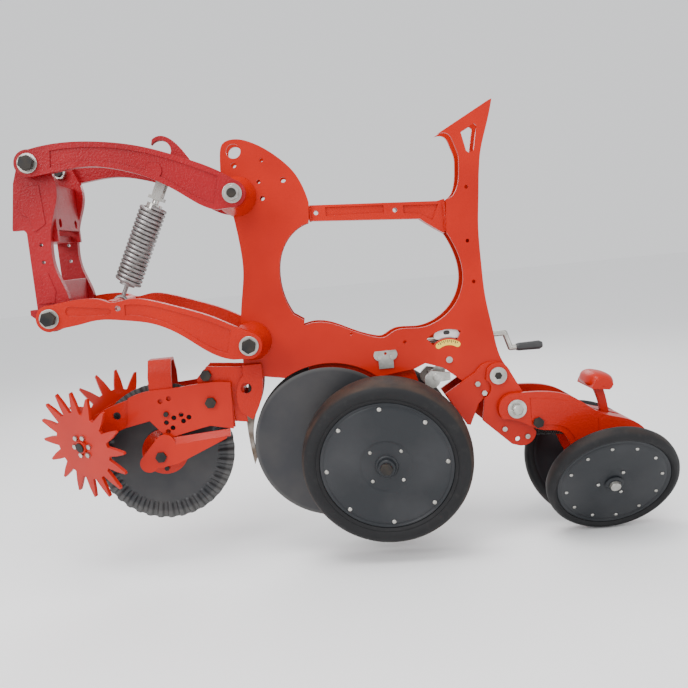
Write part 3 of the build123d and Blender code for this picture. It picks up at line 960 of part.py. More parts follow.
lever -= pin(STEM_PIVOT, 6 + RUN, -99, 99)
GX, GZ = STEM_PIVOT[0] - 16, STEM_PIVOT[1] + 124
GRIP_HALF = 55.0
grip_face = outline(
    [(GX - 26, GZ - 4), (GX - 2, GZ + 20), (GX + 28, GZ + 2)],
    [(GX + 28, GZ + 2), (GX + 18, GZ - 10)],
    [(GX + 18, GZ - 10), (GX - 26, GZ - 4)],
)
keep("closing_lever", lever + slab(grip_face, -GRIP_HALF, GRIP_HALF))
os.makedirs("parts", exist_ok=True)
for name, shape in parts.items():
    export_step(shape, f"parts/{name}.step")
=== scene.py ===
"""Finishes and fine shapes of a corn planter row unit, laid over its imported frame. Metres."""

import json
import math

import bmesh
import bpy
from mathutils import Matrix, Vector

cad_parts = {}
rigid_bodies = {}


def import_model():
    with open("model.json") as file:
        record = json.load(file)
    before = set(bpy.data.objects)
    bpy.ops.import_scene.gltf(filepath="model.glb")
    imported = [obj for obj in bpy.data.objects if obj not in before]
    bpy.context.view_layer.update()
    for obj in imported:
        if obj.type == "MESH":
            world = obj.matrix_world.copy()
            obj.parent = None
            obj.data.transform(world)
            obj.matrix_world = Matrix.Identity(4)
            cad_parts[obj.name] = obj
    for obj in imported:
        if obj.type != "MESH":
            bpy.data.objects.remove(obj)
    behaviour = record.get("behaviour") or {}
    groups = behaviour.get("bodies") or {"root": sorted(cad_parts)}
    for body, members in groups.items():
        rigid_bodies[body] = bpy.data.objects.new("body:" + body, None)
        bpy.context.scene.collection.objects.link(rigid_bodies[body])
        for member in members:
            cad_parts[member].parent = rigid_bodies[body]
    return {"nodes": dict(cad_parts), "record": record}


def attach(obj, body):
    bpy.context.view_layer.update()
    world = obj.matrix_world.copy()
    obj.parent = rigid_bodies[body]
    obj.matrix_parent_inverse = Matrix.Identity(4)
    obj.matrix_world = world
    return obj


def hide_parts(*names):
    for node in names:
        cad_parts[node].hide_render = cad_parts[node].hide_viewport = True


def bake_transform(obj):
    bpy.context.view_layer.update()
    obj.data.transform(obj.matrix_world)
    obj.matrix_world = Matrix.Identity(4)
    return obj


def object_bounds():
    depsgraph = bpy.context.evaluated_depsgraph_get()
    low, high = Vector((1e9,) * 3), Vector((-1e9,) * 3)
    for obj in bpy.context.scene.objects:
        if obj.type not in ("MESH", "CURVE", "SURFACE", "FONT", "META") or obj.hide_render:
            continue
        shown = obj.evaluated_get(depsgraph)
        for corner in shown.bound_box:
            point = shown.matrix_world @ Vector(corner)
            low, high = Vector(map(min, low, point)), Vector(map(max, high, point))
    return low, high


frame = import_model()
cad_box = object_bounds()
home = {node: body for body, nodes in frame["record"]["behaviour"]["bodies"].items() for node in nodes}


# ---------------------------------------------------------------- studio
# Pale floor just under the lowest wheel, one large soft light over the top, two beside it,
# and a camera that looks at the left side from slightly ahead.
def studio_panel(name, place, target, width, power):
    """Square soft light that faces a point."""
    lamp = bpy.data.lights.new(name, "AREA")
    lamp.shape = "SQUARE"
    lamp.size = width
    lamp.energy = power
    holder = bpy.data.objects.new(name, lamp)
    holder.location = place
    holder.rotation_euler = (Vector(target) - Vector(place)).to_track_quat("-Z", "Y").to_euler()
    bpy.context.collection.objects.link(holder)


UNIT_MIDDLE = (0.70, 0.0, -0.20)
studio_panel("overhead", (0.4, -0.8, 2.3), UNIT_MIDDLE, 1.6, 70)
studio_panel("front_left", (-1.4, -2.4, 1.3), UNIT_MIDDLE, 1.2, 60)
studio_panel("rear_left", (2.9, -2.4, 0.7), UNIT_MIDDLE, 1.6, 22)
studio_panel("behind", (0.9, 2.6, 1.5), UNIT_MIDDLE, 2.0, 40)

sky = bpy.data.worlds.new("studio")
sky.use_nodes = True
sky.node_tree.nodes["Background"].inputs["Color"].default_value = (0.97, 0.98, 1.0, 1)
sky.node_tree.nodes["Background"].inputs["Strength"].default_value = 1.05
bpy.context.scene.world = sky

lens = bpy.data.cameras.new("camera")
lens.lens = 41.34
lens.sensor_width = 36
lens.clip_end = 50
camera = bpy.data.objects.new("camera", lens)
CAMERA_RIGHT = Vector((0.99462, -0.04144, -0.09499))
CAMERA_UP = Vector((0.09928, 0.11805, 0.98803))
CAMERA_BACK = -Vector((0.02973, 0.99214, -0.12153))
turn = Matrix((CAMERA_RIGHT, CAMERA_UP, CAMERA_BACK)).transposed().to_4x4()
camera.matrix_world = Matrix.Translation((0.63095, -1.930, -0.01462)) @ turn
bpy.context.collection.objects.link(camera)
bpy.context.scene.camera = camera

floor_mesh = bpy.data.meshes.new("floor")
FLOOR_HALF, FLOOR_Z = 14.0, cad_box[0].z - 0.002
floor_corners = [(x * FLOOR_HALF, y * FLOOR_HALF, FLOOR_Z) for x, y in ((-1, -1), (1, -1), (1, 1), (-1, 1))]
floor_mesh.from_pydata(floor_corners, [], [(0, 1, 2, 3)])
floor = bpy.data.objects.new("floor", floor_mesh)
bpy.context.collection.objects.link(floor)
floor_paint = bpy.data.materials.new("floor_paint")
floor_paint.use_nodes = True
floor_paint.node_tree.nodes["Principled BSDF"].inputs["Base Color"].default_value = (0.94, 0.94, 0.94, 1)
floor_paint.node_tree.nodes["Principled BSDF"].inputs["Roughness"].default_value = 0.7
floor_mesh.materials.append(floor_paint)


# ---------------------------------------------------------------- painted castings and plates
# Cast arms and brackets and laser-cut plates, all powder coated orange-red: a glossy coat with
# fine orange peel and broad patches of lighter and darker red, with cast grain under it on the castings.
class Value:
    """Output of a material's node, with arithmetic that adds Math nodes."""

    def __init__(self, finish, socket):
        self.finish, self.socket = finish, socket

    def math(self, operation, first, second=0.0):
        return self.finish.node("ShaderNodeMath", {"operation": operation}, {0: first, 1: second})

    def __add__(self, other):
        return self.math("ADD", self, other)

    def __sub__(self, other):
        return self.math("SUBTRACT", self, other)

    def __rsub__(self, other):
        return self.math("SUBTRACT", other, self)

    def __mul__(self, other):
        return self.math("MULTIPLY", self, other)

    __radd__ = __add__
    __rmul__ = __mul__


class Finish:
    """A material under construction around one Principled shader."""

    def __init__(self, name, metallic=0.0, coat=0.0, coat_roughness=0.1, gloss=0.5):
        self.material = bpy.data.materials.new(name)
        self.material.use_nodes = True
        self.tree = self.material.node_tree
        self.shader = self.tree.nodes["Principled BSDF"]
        self.shader.inputs["Metallic"].default_value = metallic
        self.shader.inputs["Coat Weight"].default_value = coat
        self.shader.inputs["Coat Roughness"].default_value = coat_roughness
        self.shader.inputs["Specular IOR Level"].default_value = gloss

    def node(self, kind, settings=None, inputs=None, output=0):
        """Adds a node: settings first, then its sockets' values or links."""
        made = self.tree.nodes.new(kind)
        for key, value in (settings or {}).items():
            if key == "stops":
                for stop, (at, color) in zip(made.color_ramp.elements, value):
                    stop.position, stop.color = at, color
            else:
                setattr(made, key, value)
        for key, value in (inputs or {}).items():
            if isinstance(value, Value):
                self.tree.links.new(value.socket, made.inputs[key])
            else:
                made.inputs[key].default_value = value
        return Value(self, made.outputs[output])

    def place(self):
        return self.node("ShaderNodeTexCoord", output="Object")

    def noise(self, scale, detail=2.0, where=None):
        inputs = {"Vector": where or self.place(), "Scale": scale, "Detail": detail}
        return self.node("ShaderNodeTexNoise", {}, inputs)

    def step(self, value, low, high):
        """0 below low, 1 above high."""
        inputs = {"Value": value, "From Min": low, "From Max": high}
        return self.node("ShaderNodeMapRange", {"clamp": True}, inputs)

    def mix(self, share, first, second):
        """Colour between two others: 0 gives the first, 1 the second."""
        return self.node("ShaderNodeMix", {"data_type": "RGBA"}, {0: share, 6: first, 7: second}, 2)

    def bump(self, height, distance):
        inputs = {"Height": height, "Distance": distance, "Strength": 1.0}
        return self.node("ShaderNodeBump", {}, inputs)

    def feed(self, **links):
        for name, value in links.items():
            self.tree.links.new(value.socket, self.shader.inputs[name.replace("_", " ")])
        return self.material


def powder_coat(name, light, dark, grain):
    """Glossy powder coat over metal whose grain height is given in metres."""
    coat = Finish(name, coat=0.10, coat_roughness=0.10, gloss=0.18)
    cloud = coat.noise(4.5, 4)
    colour = coat.mix(coat.step(cloud, 0.32, 0.68), dark, light)
    specks = coat.step(coat.noise(160, 3), 0.71, 0.76)
    colour = coat.mix(specks * 0.3, colour, (0.22, 0.03, 0.01, 1))
    peel = coat.noise(650, 2)
    lumps = coat.noise(210, 6)
    dullness = coat.noise(16, 5) * 0.24 + 0.22
    return coat.feed(Base_Color=colour, Roughness=dullness, Normal=coat.bump(peel * 0.2 + lumps, grain))


def smooth_shaded(mesh, angle=32):
    """Smooth shading with creases kept where faces meet more sharply than the angle."""
    for face in mesh.polygons:
        face.use_smooth = True
    mesh.set_sharp_from_angle(angle=math.radians(angle))


def put(name, mesh, material, body, *nodes, slot=None):
    """Makes a visible piece of a finished mesh in place of CAD nodes, riding on a body if one is given."""
    mesh.materials.clear()
    mesh.materials.append(material)
    piece = bpy.data.objects.new(name, mesh)
    bpy.context.collection.objects.link(piece)
    if body:
        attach(piece, body)
    if nodes:
        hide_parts(*nodes)
    return piece


def plain_mesh(thing):
    """The finished mesh of an object with its modifiers applied; the object is removed."""
    ready = bpy.data.meshes.new_from_object(thing.evaluated_get(bpy.context.evaluated_depsgraph_get()))
    old = thing.data
    bpy.data.objects.remove(thing)
    if old.users == 0:
        bpy.data.meshes.remove(old)
    return ready


def solids_of(mesh):
    """Sets of vertex numbers, one for each solid of a mesh."""
    neighbours = [[] for _ in mesh.vertices]
    for edge in mesh.edges:
        one, two = edge.vertices
        neighbours[one].append(two)
        neighbours[two].append(one)
    solids, met = [], set()
    for start in range(len(neighbours)):
        if start in met:
            continue
        met.add(start)
        solid, waiting = set(), [start]
        while waiting:
            here = waiting.pop()
            solid.add(here)
            for there in neighbours[here]:
                if there not in met:
                    met.add(there)
                    waiting.append(there)
        solids.append(solid)
    return solids


def part_of(mesh, keep):
    """Copy of a mesh with only the given vertices."""
    work = bmesh.new()
    work.from_mesh(mesh)
    bmesh.ops.delete(work, geom=[v for v in work.verts if v.index not in keep], context="VERTS")
    part = bpy.data.meshes.new("part")
    work.to_mesh(part)
    work.free()
    return part


def modified(mesh, kind, **settings):
    """The mesh after one modifier."""
    shape = bpy.data.objects.new("shape", mesh)
    bpy.context.collection.objects.link(shape)
    modifier = shape.modifiers.new("change", kind)
    for key, value in settings.items():
        setattr(modifier, key, value)
    return plain_mesh(shape)


def edge_rounded(mesh, radius):
    """The mesh with its sharp edges rounded and its flat faces shaded flat."""
    rounded = modified(mesh, "BEVEL", width=radius, segments=2, limit_method="ANGLE",
                       angle_limit=math.radians(35), use_clamp_overlap=True)
    smooth_shaded(rounded, 40)
    return modified(rounded, "WEIGHTED_NORMAL", keep_sharp=True)


MERGE_DISTANCE = 1e-5


def eased(node, material, radius, slot="red_paint", small=None):
    """A CAD node with its sharp edges rounded, as a fettled casting or a deburred plate has them.

    small is the (width, material, slot) of the fasteners in the node: its solids narrower than that
    across the machine.
    """
    mesh = frame["nodes"][node].data.copy()
    work = bmesh.new()
    work.from_mesh(mesh)
    bmesh.ops.remove_doubles(work, verts=work.verts, dist=MERGE_DISTANCE)
    bmesh.ops.dissolve_limit(work, angle_limit=math.radians(0.5), verts=work.verts, edges=work.edges)
    work.to_mesh(mesh)
    work.free()
    every_point, fasteners = set(range(len(mesh.vertices))), set()
    if small:
        width, small_material, small_slot = small
        for solid in solids_of(mesh):
            across = [mesh.vertices[i].co.y for i in solid]
            if max(across) - min(across) < width:
                fasteners |= solid
        heads = edge_rounded(part_of(mesh, fasteners), radius)
        put(node + "_fasteners", heads, small_material, home[node], node, slot=small_slot)
    main = part_of(mesh, every_point - fasteners)
    bpy.data.meshes.remove(mesh)
    return put(node + "_look", edge_rounded(main, radius), material, home[node], node, slot=slot)


ORANGE_RED = (0.46, 0.012, 0.0015, 1)
DEEP_RED = (0.36, 0.007, 0.001, 1)
CRIMSON = (0.30, 0.006, 0.011, 1)
DARK_CRIMSON = (0.21, 0.003, 0.007, 1)
plate_paint = powder_coat("plate_paint", ORANGE_RED, DEEP_RED, 0.00012)
cast_paint = powder_coat("cast_paint", ORANGE_RED, DEEP_RED, 0.0012)
arm_paint = powder_coat("arm_paint", CRIMSON, DARK_CRIMSON, 0.0014)

for node in ("head_side_left", "head_side_right", "head_web_upper", "head_web_lower"):
    eased(node, arm_paint, 0.0022)
for node in ("upper_arm_left", "upper_arm_right"):
    eased(node, arm_paint, 0.0020)
for node in ("lower_arm_left", "lower_arm_right", "lower_arm_crossbar"):
    eased(node, cast_paint, 0.0020)
for node in ("shank_plate_left", "shank_plate_right", "cleaner_plates", "coulter_arms", "tail_plates",
             "shank_edge_strips"):
    eased(node, plate_paint, 0.0008)
for node in ("shank_crossbar", "shank_pivot_tubes", "disc_carrier", "coulter_mount", "closing_arm",
             "gauge_arm_left", "gauge_arm_right", "cleaner_frame"):
    eased(node, cast_paint, 0.0012)
eased("closing_lever", plate_paint, 0.0025)


# ---------------------------------------------------------------- bolts, nuts, pins and washers
# Black-oxide bolts with zinc washers and nuts, turned pins, and a pressed zinc tag. The shin
# guard and the opener's spindles are bare steel that the soil has worn.
def bare_metal(name, colour, tarnish, roughness, metallic=0.9, gloss=0.5):
    """Machined or plated metal with smudges and fine tool marks."""
    metal = Finish(name, metallic=metallic, gloss=gloss)
    smudge = metal.step(metal.noise(38, 5), 0.35, 0.7)
    marks = metal.noise(900, 3)
    return metal.feed(Base_Color=metal.mix(smudge, colour, tarnish),
                      Roughness=smudge * 0.2 + (marks * 0.12 + roughness), Normal=metal.bump(marks, 0.00006))


zinc = bare_metal("zinc", (0.52, 0.51, 0.48, 1), (0.32, 0.31, 0.28, 1), 0.20)
oxide = bare_metal("black_oxide", (0.012, 0.012, 0.013, 1), (0.034, 0.028, 0.022, 1), 0.38, 0.2, 0.25)
wire_steel = bare_metal("wire_steel", (0.34, 0.33, 0.33, 1), (0.20, 0.19, 0.18, 1), 0.30)
worn_steel = bare_metal("worn_steel", (0.30, 0.27, 0.24, 1), (0.12, 0.085, 0.06, 1), 0.45, 0.8)
for node in ("head_pivot_bolts", "coulter_axle", "cleaner_bolts", "cleaner_axles", "closing_arm_bolts"):
    eased(node, oxide, 0.0012, "black_oxide")
eased("tail_bolts", zinc, 0.0010, "zinc")
eased("shank_pivot_bolts", oxide, 0.0012, "black_oxide", small=(0.03, zinc, "zinc"))
for node in ("head_pivot_nuts_washers", "spring_top_pin", "spring_clevis", "spring_plug", "tag_plate",
             "crank_rod", "depth_nut", "depth_lever", "depth_rocker", "closing_spindles"):
    eased(node, zinc, 0.0008, "zinc")
for node in ("shin_guard", "carrier_shafts"):
    eased(node, worn_steel, 0.0008, "worn_steel")
eased("spring_lower_hook", wire_steel, 0.0003, "spring_steel")


# ---------------------------------------------------------------- down-force spring
# Close coil of 10 mm spring wire between the lower cross bar and the clevis on the upper pin.
# It is wound cold, shot peened and lightly oiled, so it is grey with a soft sheen.
class Recipe:
    """Geometry Nodes tree built in the script, with named inputs."""

    def __init__(self, name, inputs):
        self.tree = bpy.data.node_groups.new(name, "GeometryNodeTree")
        self.tree.interface.new_socket("Geometry", in_out="OUTPUT", socket_type="NodeSocketGeometry")
        self.ids = {}
        for key, kind in inputs.items():
            self.ids[key] = self.tree.interface.new_socket(key, in_out="INPUT", socket_type=kind).identifier
        self.given = self.tree.nodes.new("NodeGroupInput")
        self.result = self.tree.nodes.new("NodeGroupOutput")

    def __getitem__(self, key):
        return self.given.outputs[key]

    def node(self, kind, settings=None, inputs=None, output=0):
        made = self.tree.nodes.new(kind)
        for key, value in (settings or {}).items():
            setattr(made, key, value)
        for key, value in (inputs or {}).items():
            if isinstance(value, bpy.types.NodeSocket):
                self.tree.links.new(value, made.inputs[key])
            else:
                made.inputs[key].default_value = value
        return made.outputs[output]

    def close(self, geometry):
        """Ends the tree in real geometry that carries the material input."""
        real = self.node("GeometryNodeRealizeInstances", {}, {"Geometry": geometry})
        painted = self.node("GeometryNodeSetMaterial", {}, {"Geometry": real, "Material": self["Material"]})
        self.tree.links.new(painted, self.result.inputs[0])
        return self

    def made(self, material, where=Matrix.Identity(4), **values):
        """Plain mesh of the tree's result, placed by a matrix."""
        shape = bpy.data.objects.new(self.tree.name, bpy.data.meshes.new(self.tree.name))
        bpy.context.collection.objects.link(shape)
        maker = shape.modifiers.new("maker", "NODES")
        maker.node_group = self.tree
        maker[self.ids["Material"]] = material
        for key, value in values.items():
            maker[self.ids[key.replace("_", " ")]] = value
        ready = plain_mesh(shape)
        ready.transform(where)
        smooth_shaded(ready, 40)
        return ready


FLOAT, COUNT, MATERIAL = "NodeSocketFloat", "NodeSocketInt", "NodeSocketMaterial"
coil = Recipe("coil_spring", {"Turns": FLOAT, "Coil Radius": FLOAT, "Length": FLOAT, "Wire Radius": FLOAT,
                              "Steps": COUNT, "Material": MATERIAL})
helix = coil.node("GeometryNodeCurveSpiral", {}, {
    "Resolution": coil["Steps"], "Rotations": coil["Turns"], "Height": coil["Length"],
    "Start Radius": coil["Coil Radius"], "End Radius": coil["Coil Radius"]})
wire = coil.node("GeometryNodeCurvePrimitiveCircle", {}, {"Resolution": 12, "Radius": coil["Wire Radius"]})
wound = {"Curve": helix, "Profile Curve": wire, "Fill Caps": True}
coil.close(coil.node("GeometryNodeCurveToMesh", {}, wound))


def along(start, finish):
    """Matrix whose Z runs from start towards finish, with its origin at start."""
    turned_way = (Vector(finish) - Vector(start)).to_track_quat("Z", "Y")
    return Matrix.Translation(start) @ turned_way.to_matrix().to_4x4()


SPRING_FOOT = Vector((0.16111, 0, -0.09696))
SPRING_TOP = Vector((0.30215, 0, 0.19199))
spring_way = (SPRING_TOP - SPRING_FOOT).normalized()
COIL_WIRE, COIL_RADIUS, COIL_TURNS = 0.0100, 0.0275, 18.5
HOOK_LENGTH, CLEVIS_LENGTH = 0.0465, 0.0735
coil_low = SPRING_FOOT + spring_way * HOOK_LENGTH
coil_high = SPRING_TOP - spring_way * CLEVIS_LENGTH
coil_mesh = coil.made(wire_steel, along(coil_low + spring_way * COIL_WIRE / 2, coil_high), Turns=COIL_TURNS,
                      Coil_Radius=COIL_RADIUS, Length=(coil_high - coil_low).length - COIL_WIRE,
                      Wire_Radius=COIL_WIRE / 2, Steps=22)
down_spring = put("down_force_coil", coil_mesh, wire_steel, None, "spring_coil", slot="spring_steel")
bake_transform(down_spring)


# ---------------------------------------------------------------- closing spring
# Small dark coil that loads the closing frame. Its front end reaches a pin through the tail
# plates, and its rear end meets the frame between the two wheels.
HOOK_PIN = Vector((1.11497, 0, -0.51705))
SMALL_COIL_WIRE_RADIUS, SMALL_COIL_RADIUS, SMALL_COIL_TURNS = 0.0019, 0.0078, 22.0
small_low = HOOK_PIN + Vector((0.009, 0, 0))
small_high = Vector((1.247, 0, -0.5265))
small_mesh = coil.made(oxide, along(small_low, small_high), Turns=SMALL_COIL_TURNS,
                       Coil_Radius=SMALL_COIL_RADIUS, Length=(small_high - small_low).length,
                       Wire_Radius=SMALL_COIL_WIRE_RADIUS, Steps=16)
closing_coil = put("closing_coil", small_mesh, oxide, None, "closing_spring", slot="spring_steel")
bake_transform(closing_coil)


# ---------------------------------------------------------------- rivets and hexagon heads
# Zinc rivets and black screws set on circles round the hubs of the wheels. The rivets have low
# round heads, hammered over the dish; the screws have plain six-sided heads.
rivets = Recipe("rivet_circle", {"Count": COUNT, "Circle Radius": FLOAT, "Head Radius": FLOAT,
                                 "Head Height": FLOAT, "Material": MATERIAL})
circle = {"Vertices": rivets["Count"], "Radius": rivets["Circle Radius"]}
places = rivets.node("GeometryNodeMeshCircle", {}, circle)
ball = rivets.node("GeometryNodeMeshUVSphere", {}, {"Segments": 20, "Rings": 10, "Radius": 1.0})
flat = rivets.node("ShaderNodeCombineXYZ", {}, {
    0: rivets["Head Radius"], 1: rivets["Head Radius"], 2: rivets["Head Height"]})
head = rivets.node("GeometryNodeTransform", {}, {"Geometry": ball, "Scale": flat})
rivets.close(rivets.node("GeometryNodeInstanceOnPoints", {}, {"Points": places, "Instance": head}))

screws = Recipe("hexagon_circle", {"Count": COUNT, "Circle Radius": FLOAT, "Corner Radius": FLOAT,
                                   "Head Height": FLOAT, "Material": MATERIAL})
circle = {"Vertices": screws["Count"], "Radius": screws["Circle Radius"]}
places = screws.node("GeometryNodeMeshCircle", {}, circle)
foot = screws.node("GeometryNodeMeshCone", {}, {
    "Vertices": 6, "Radius Bottom": screws["Corner Radius"], "Radius Top": screws["Corner Radius"],
    "Depth": screws["Head Height"]})
screws.close(screws.node("GeometryNodeInstanceOnPoints", {}, {"Points": places, "Instance": foot}))


def joined(*meshes):
    """One mesh of several, which are used up."""
    work = bmesh.new()
    for mesh in meshes:
        work.from_mesh(mesh)
        bpy.data.meshes.remove(mesh)
    whole = bpy.data.meshes.new("joined")
    work.to_mesh(whole)
    work.free()
    return whole


def wheel_frame(x, y, z, toe, camber):
    """Matrix of a left wheel: local X to the rear, Y up and Z outwards."""
    outward = Vector((-math.tan(math.radians(toe)), -1, -math.tan(math.radians(camber)))).normalized()
    rearward = (Vector((1, 0, 0)) - outward * outward.x).normalized()
    turn = Matrix((rearward, outward.cross(rearward), outward)).transposed()
    return Matrix.Translation((x, y, z)) @ turn.to_4x4()


def flipped(mesh):
    """The mirror image of a mesh, for the right side of the machine."""
    twin = mesh.copy()
    twin.transform(Matrix.Diagonal((1, -1, 1, 1)))
    twin.flip_normals()
    return twin


def turned(profile, steps=96, ripple=None):
    """Closed ring turned from a closed profile of (radius, height) in millimetres."""
    work = bmesh.new()
    rings = []
    for i in range(steps):
        angle = 2 * math.pi * i / steps
        ring = []
        for radius, height in profile:
            lift = ripple(radius, angle) if ripple else 0
            ring.append(work.verts.new((radius * math.cos(angle) / 1000, radius * math.sin(angle) / 1000,
                                        (height + lift) / 1000)))
        rings.append(ring)
    for i in range(steps):
        here, there = rings[i], rings[(i + 1) % steps]
        for j in range(len(profile)):
            k = (j + 1) % len(profile)
            work.faces.new((here[j], there[j], there[k], here[k]))
    bmesh.ops.recalc_face_normals(work, faces=work.faces)
    mesh = bpy.data.meshes.new("turned")
    work.to_mesh(mesh)
    work.free()
    smooth_shaded(mesh, 38)
    return mesh


def on_wheel(finish, place):
    """Distance from a wheel's axis, from the place matrix of the wheel."""
    centre, outward = place.translation, place.to_3x3().col[2]
    vector_math = "ShaderNodeVectorMath"
    offset = finish.node(vector_math, {"operation": "SUBTRACT"}, {0: finish.place(), 1: tuple(centre)})
    height = finish.node(vector_math, {"operation": "DOT_PRODUCT"}, {0: offset, 1: tuple(outward)}, "Value")
    length = finish.node(vector_math, {"operation": "LENGTH"}, {0: offset}, "Value")
    return finish.node("ShaderNodeMath", {"operation": "SQRT"}, {0: length * length - height * height})


# ---------------------------------------------------------------- gauge wheels
# Wide soft rubber tyre stretched over a dished rim of two riveted halves. The rubber is matt
# black with a fine moulded skin and soil-brown tread; the rim is satin black.
GAUGE_PLACE = wheel_frame(0.75597, -0.150, -0.52805, 8.6, 8.4)
RIGHT = Matrix.Diagonal((1, -1, 1, 1))


def soft_rubber(name, place, tread_from, band):
    """Matt rubber that is browner beyond a radius."""
    rubber = Finish(name, gloss=0.25)
    radius = on_wheel(rubber, place)
    dust = rubber.step(radius, tread_from, tread_from + 0.004) * rubber.step(rubber.noise(22, 5), 0.25, 0.75)
    scuff = rubber.step(rubber.noise(60, 6), 0.55, 0.8) * 0.5
    colour = rubber.mix(scuff, (0.009, 0.009, 0.010, 1), (0.026, 0.025, 0.024, 1))
    colour = rubber.mix(dust * band, colour, (0.060, 0.034, 0.022, 1))
    skin = rubber.noise(1100, 2) + rubber.noise(240, 4) * 0.6
    dullness = rubber.noise(30, 4) * 0.25 + 0.50
    return rubber.feed(Base_Color=colour, Roughness=dullness, Normal=rubber.bump(skin, 0.00018))


def satin_rim(name, place):
    """Satin black paint with faint turned rings and dust."""
    rim = Finish(name, gloss=0.35)
    radius = on_wheel(rim, place)
    rings = rim.node("ShaderNodeMath", {"operation": "SINE"}, {0: radius * 2600.0})
    dust = rim.step(rim.noise(9, 6), 0.42, 0.85)
    colour = rim.mix(dust, (0.010, 0.012, 0.015, 1), (0.034, 0.035, 0.038, 1))
    return rim.feed(Base_Color=colour, Roughness=rim.noise(18, 5) * 0.28 + 0.30,
                    Normal=rim.bump(rings * 0.25 + rim.noise(300, 3), 0.00008))


TYRE_PROFILE = [(158, -82), (160, -87), (168, -88), (184, -87), (193, -82), (199, -72), (202, -58),
                (203, -42), (202.4, -26), (200.5, -12), (197, -2), (191, 4), (184, 7.1), (177, 7.6),
                (171, 6.6), (168.5, 4.2), (166.5, 3.2), (165, 4.2), (163, 3.6), (160.5, 1.6), (158, 0)]
RIM_PROFILE = [(28, -8), (70, -8), (150, -8), (152, -10), (152, -80), (158, -80), (158, -3), (156, -0.8),
               (153, -0.6), (151.5, -1.8), (149, -1.9), (147, -0.4), (140, 0), (66, 0), (63, -0.6),
               (61.5, -1.8), (56, -2), (28, -2)]
HUB_PROFILE = [(9.6, -34), (28, -34), (28, -2), (26, 0.6), (23, 2), (9.6, 2)]
gauge_rubber = soft_rubber("gauge_rubber", GAUGE_PLACE, 0.1925, 0.85)
gauge_paint = satin_rim("gauge_paint", GAUGE_PLACE)
gauge_rubber_right = soft_rubber("gauge_rubber_right", RIGHT @ GAUGE_PLACE, 0.1925, 0.85)
gauge_paint_right = satin_rim("gauge_paint_right", RIGHT @ GAUGE_PLACE)


def placed(mesh, where):
    """The mesh moved by a matrix."""
    mesh.transform(where)
    return mesh


gauge_tyre = placed(turned(TYRE_PROFILE, 144), GAUGE_PLACE)
gauge_rim = placed(joined(turned(RIM_PROFILE, 128), turned(HUB_PROFILE, 64)), GAUGE_PLACE)
smooth_shaded(gauge_rim, 38)
HUB_FACE = Matrix.Translation((0, 0, -0.002))
gauge_rivets = joined(
    rivets.made(zinc, GAUGE_PLACE @ Matrix.Rotation(math.radians(3), 4, "Z"), Count=8,
                Circle_Radius=0.142, Head_Radius=0.0055, Head_Height=0.003),
    rivets.made(zinc, GAUGE_PLACE @ HUB_FACE @ Matrix.Rotation(math.radians(46), 4, "Z"), Count=4,
                Circle_Radius=0.051, Head_Radius=0.0045, Head_Height=0.0027))
smooth_shaded(gauge_rivets, 40)
for side, rubber, paint in (("left", gauge_rubber, gauge_paint),
                            ("right", gauge_rubber_right, gauge_paint_right)):
    wheel_meshes = (gauge_tyre, gauge_rim, gauge_rivets)
    tyre, rim, studs = [m.copy() if side == "left" else flipped(m) for m in wheel_meshes]
    put("gauge_tyre_look_" + side, tyre, rubber, "gauge_wheel_" + side, "gauge_tyre_" + side,
        slot="tyre_rubber")
    put("gauge_rim_look_" + side, rim, paint, "gauge_wheel_" + side, "gauge_rim_" + side, slot="wheel_grey")
    put("gauge_rivets_look_" + side, studs, zinc, "gauge_wheel_" + side, slot="zinc")


# ---------------------------------------------------------------- closing wheels
# Narrow rubber tyres on pressed steel dishes, canted inwards to firm the soil over the seed.
# Each dish is riveted to a hub that turns on a stub of the closing frame.
CLOSE_PLACE = wheel_frame(1.30097, -0.110, -0.63805, 1.8, 29.2)
CLOSE_TYRE = [(138, -28), (139.5, -32.5), (144, -34), (150, -33.4), (155.5, -30), (159, -24), (160, -16),
              (159.6, -7), (157, -0.6), (152, 4), (147, 6), (143.5, 5.2), (141, 3), (138, 0)]
CLOSE_RIM = [(22, -6), (60, -6), (132, -6), (132, -28), (138, -28), (138, -2), (136, -0.5), (133, -0.6),
             (131, -1.6), (128, -1.7), (126, -0.2), (120, 0), (46, 0), (43, -0.8), (40, -1), (22, -1)]
CLOSE_HUB = [(9.1, -32), (22, -32), (22, 3), (20, 5), (17, 6), (9.1, 6)]
close_tyre = placed(turned(CLOSE_TYRE, 128), CLOSE_PLACE)
close_rim = placed(joined(turned(CLOSE_RIM, 112), turned(CLOSE_HUB, 56)), CLOSE_PLACE)
smooth_shaded(close_rim, 38)
close_rivets = joined(
    rivets.made(zinc, CLOSE_PLACE @ Matrix.Rotation(math.radians(10), 4, "Z"), Count=12, Circle_Radius=0.115,
                Head_Radius=0.0045, Head_Height=0.003),
    rivets.made(zinc, CLOSE_PLACE @ Matrix.Rotation(math.radians(63), 4, "Z"), Count=3, Circle_Radius=0.038,
                Head_Radius=0.0045, Head_Height=0.003))
smooth_shaded(close_rivets, 40)
for side, where in (("left", CLOSE_PLACE), ("right", RIGHT @ CLOSE_PLACE)):
    rubber = soft_rubber("closing_rubber_" + side, where, 0.1565, 0.35)
    paint = satin_rim("closing_paint_" + side, where)
    wheel_meshes = (close_tyre, close_rim, close_rivets)
    tyre, rim, studs = [m.copy() if side == "left" else flipped(m) for m in wheel_meshes]
    put("closing_tyre_look_" + side, tyre, rubber, "closing_wheel_" + side, "closing_tyre_" + side,
        slot="tyre_rubber")
    put("closing_rim_look_" + side, rim, paint, "closing_wheel_" + side, "closing_rim_" + side,
        slot="wheel_grey")
    put("closing_rivets_look_" + side, studs, zinc, "closing_wheel_" + side, slot="zinc")


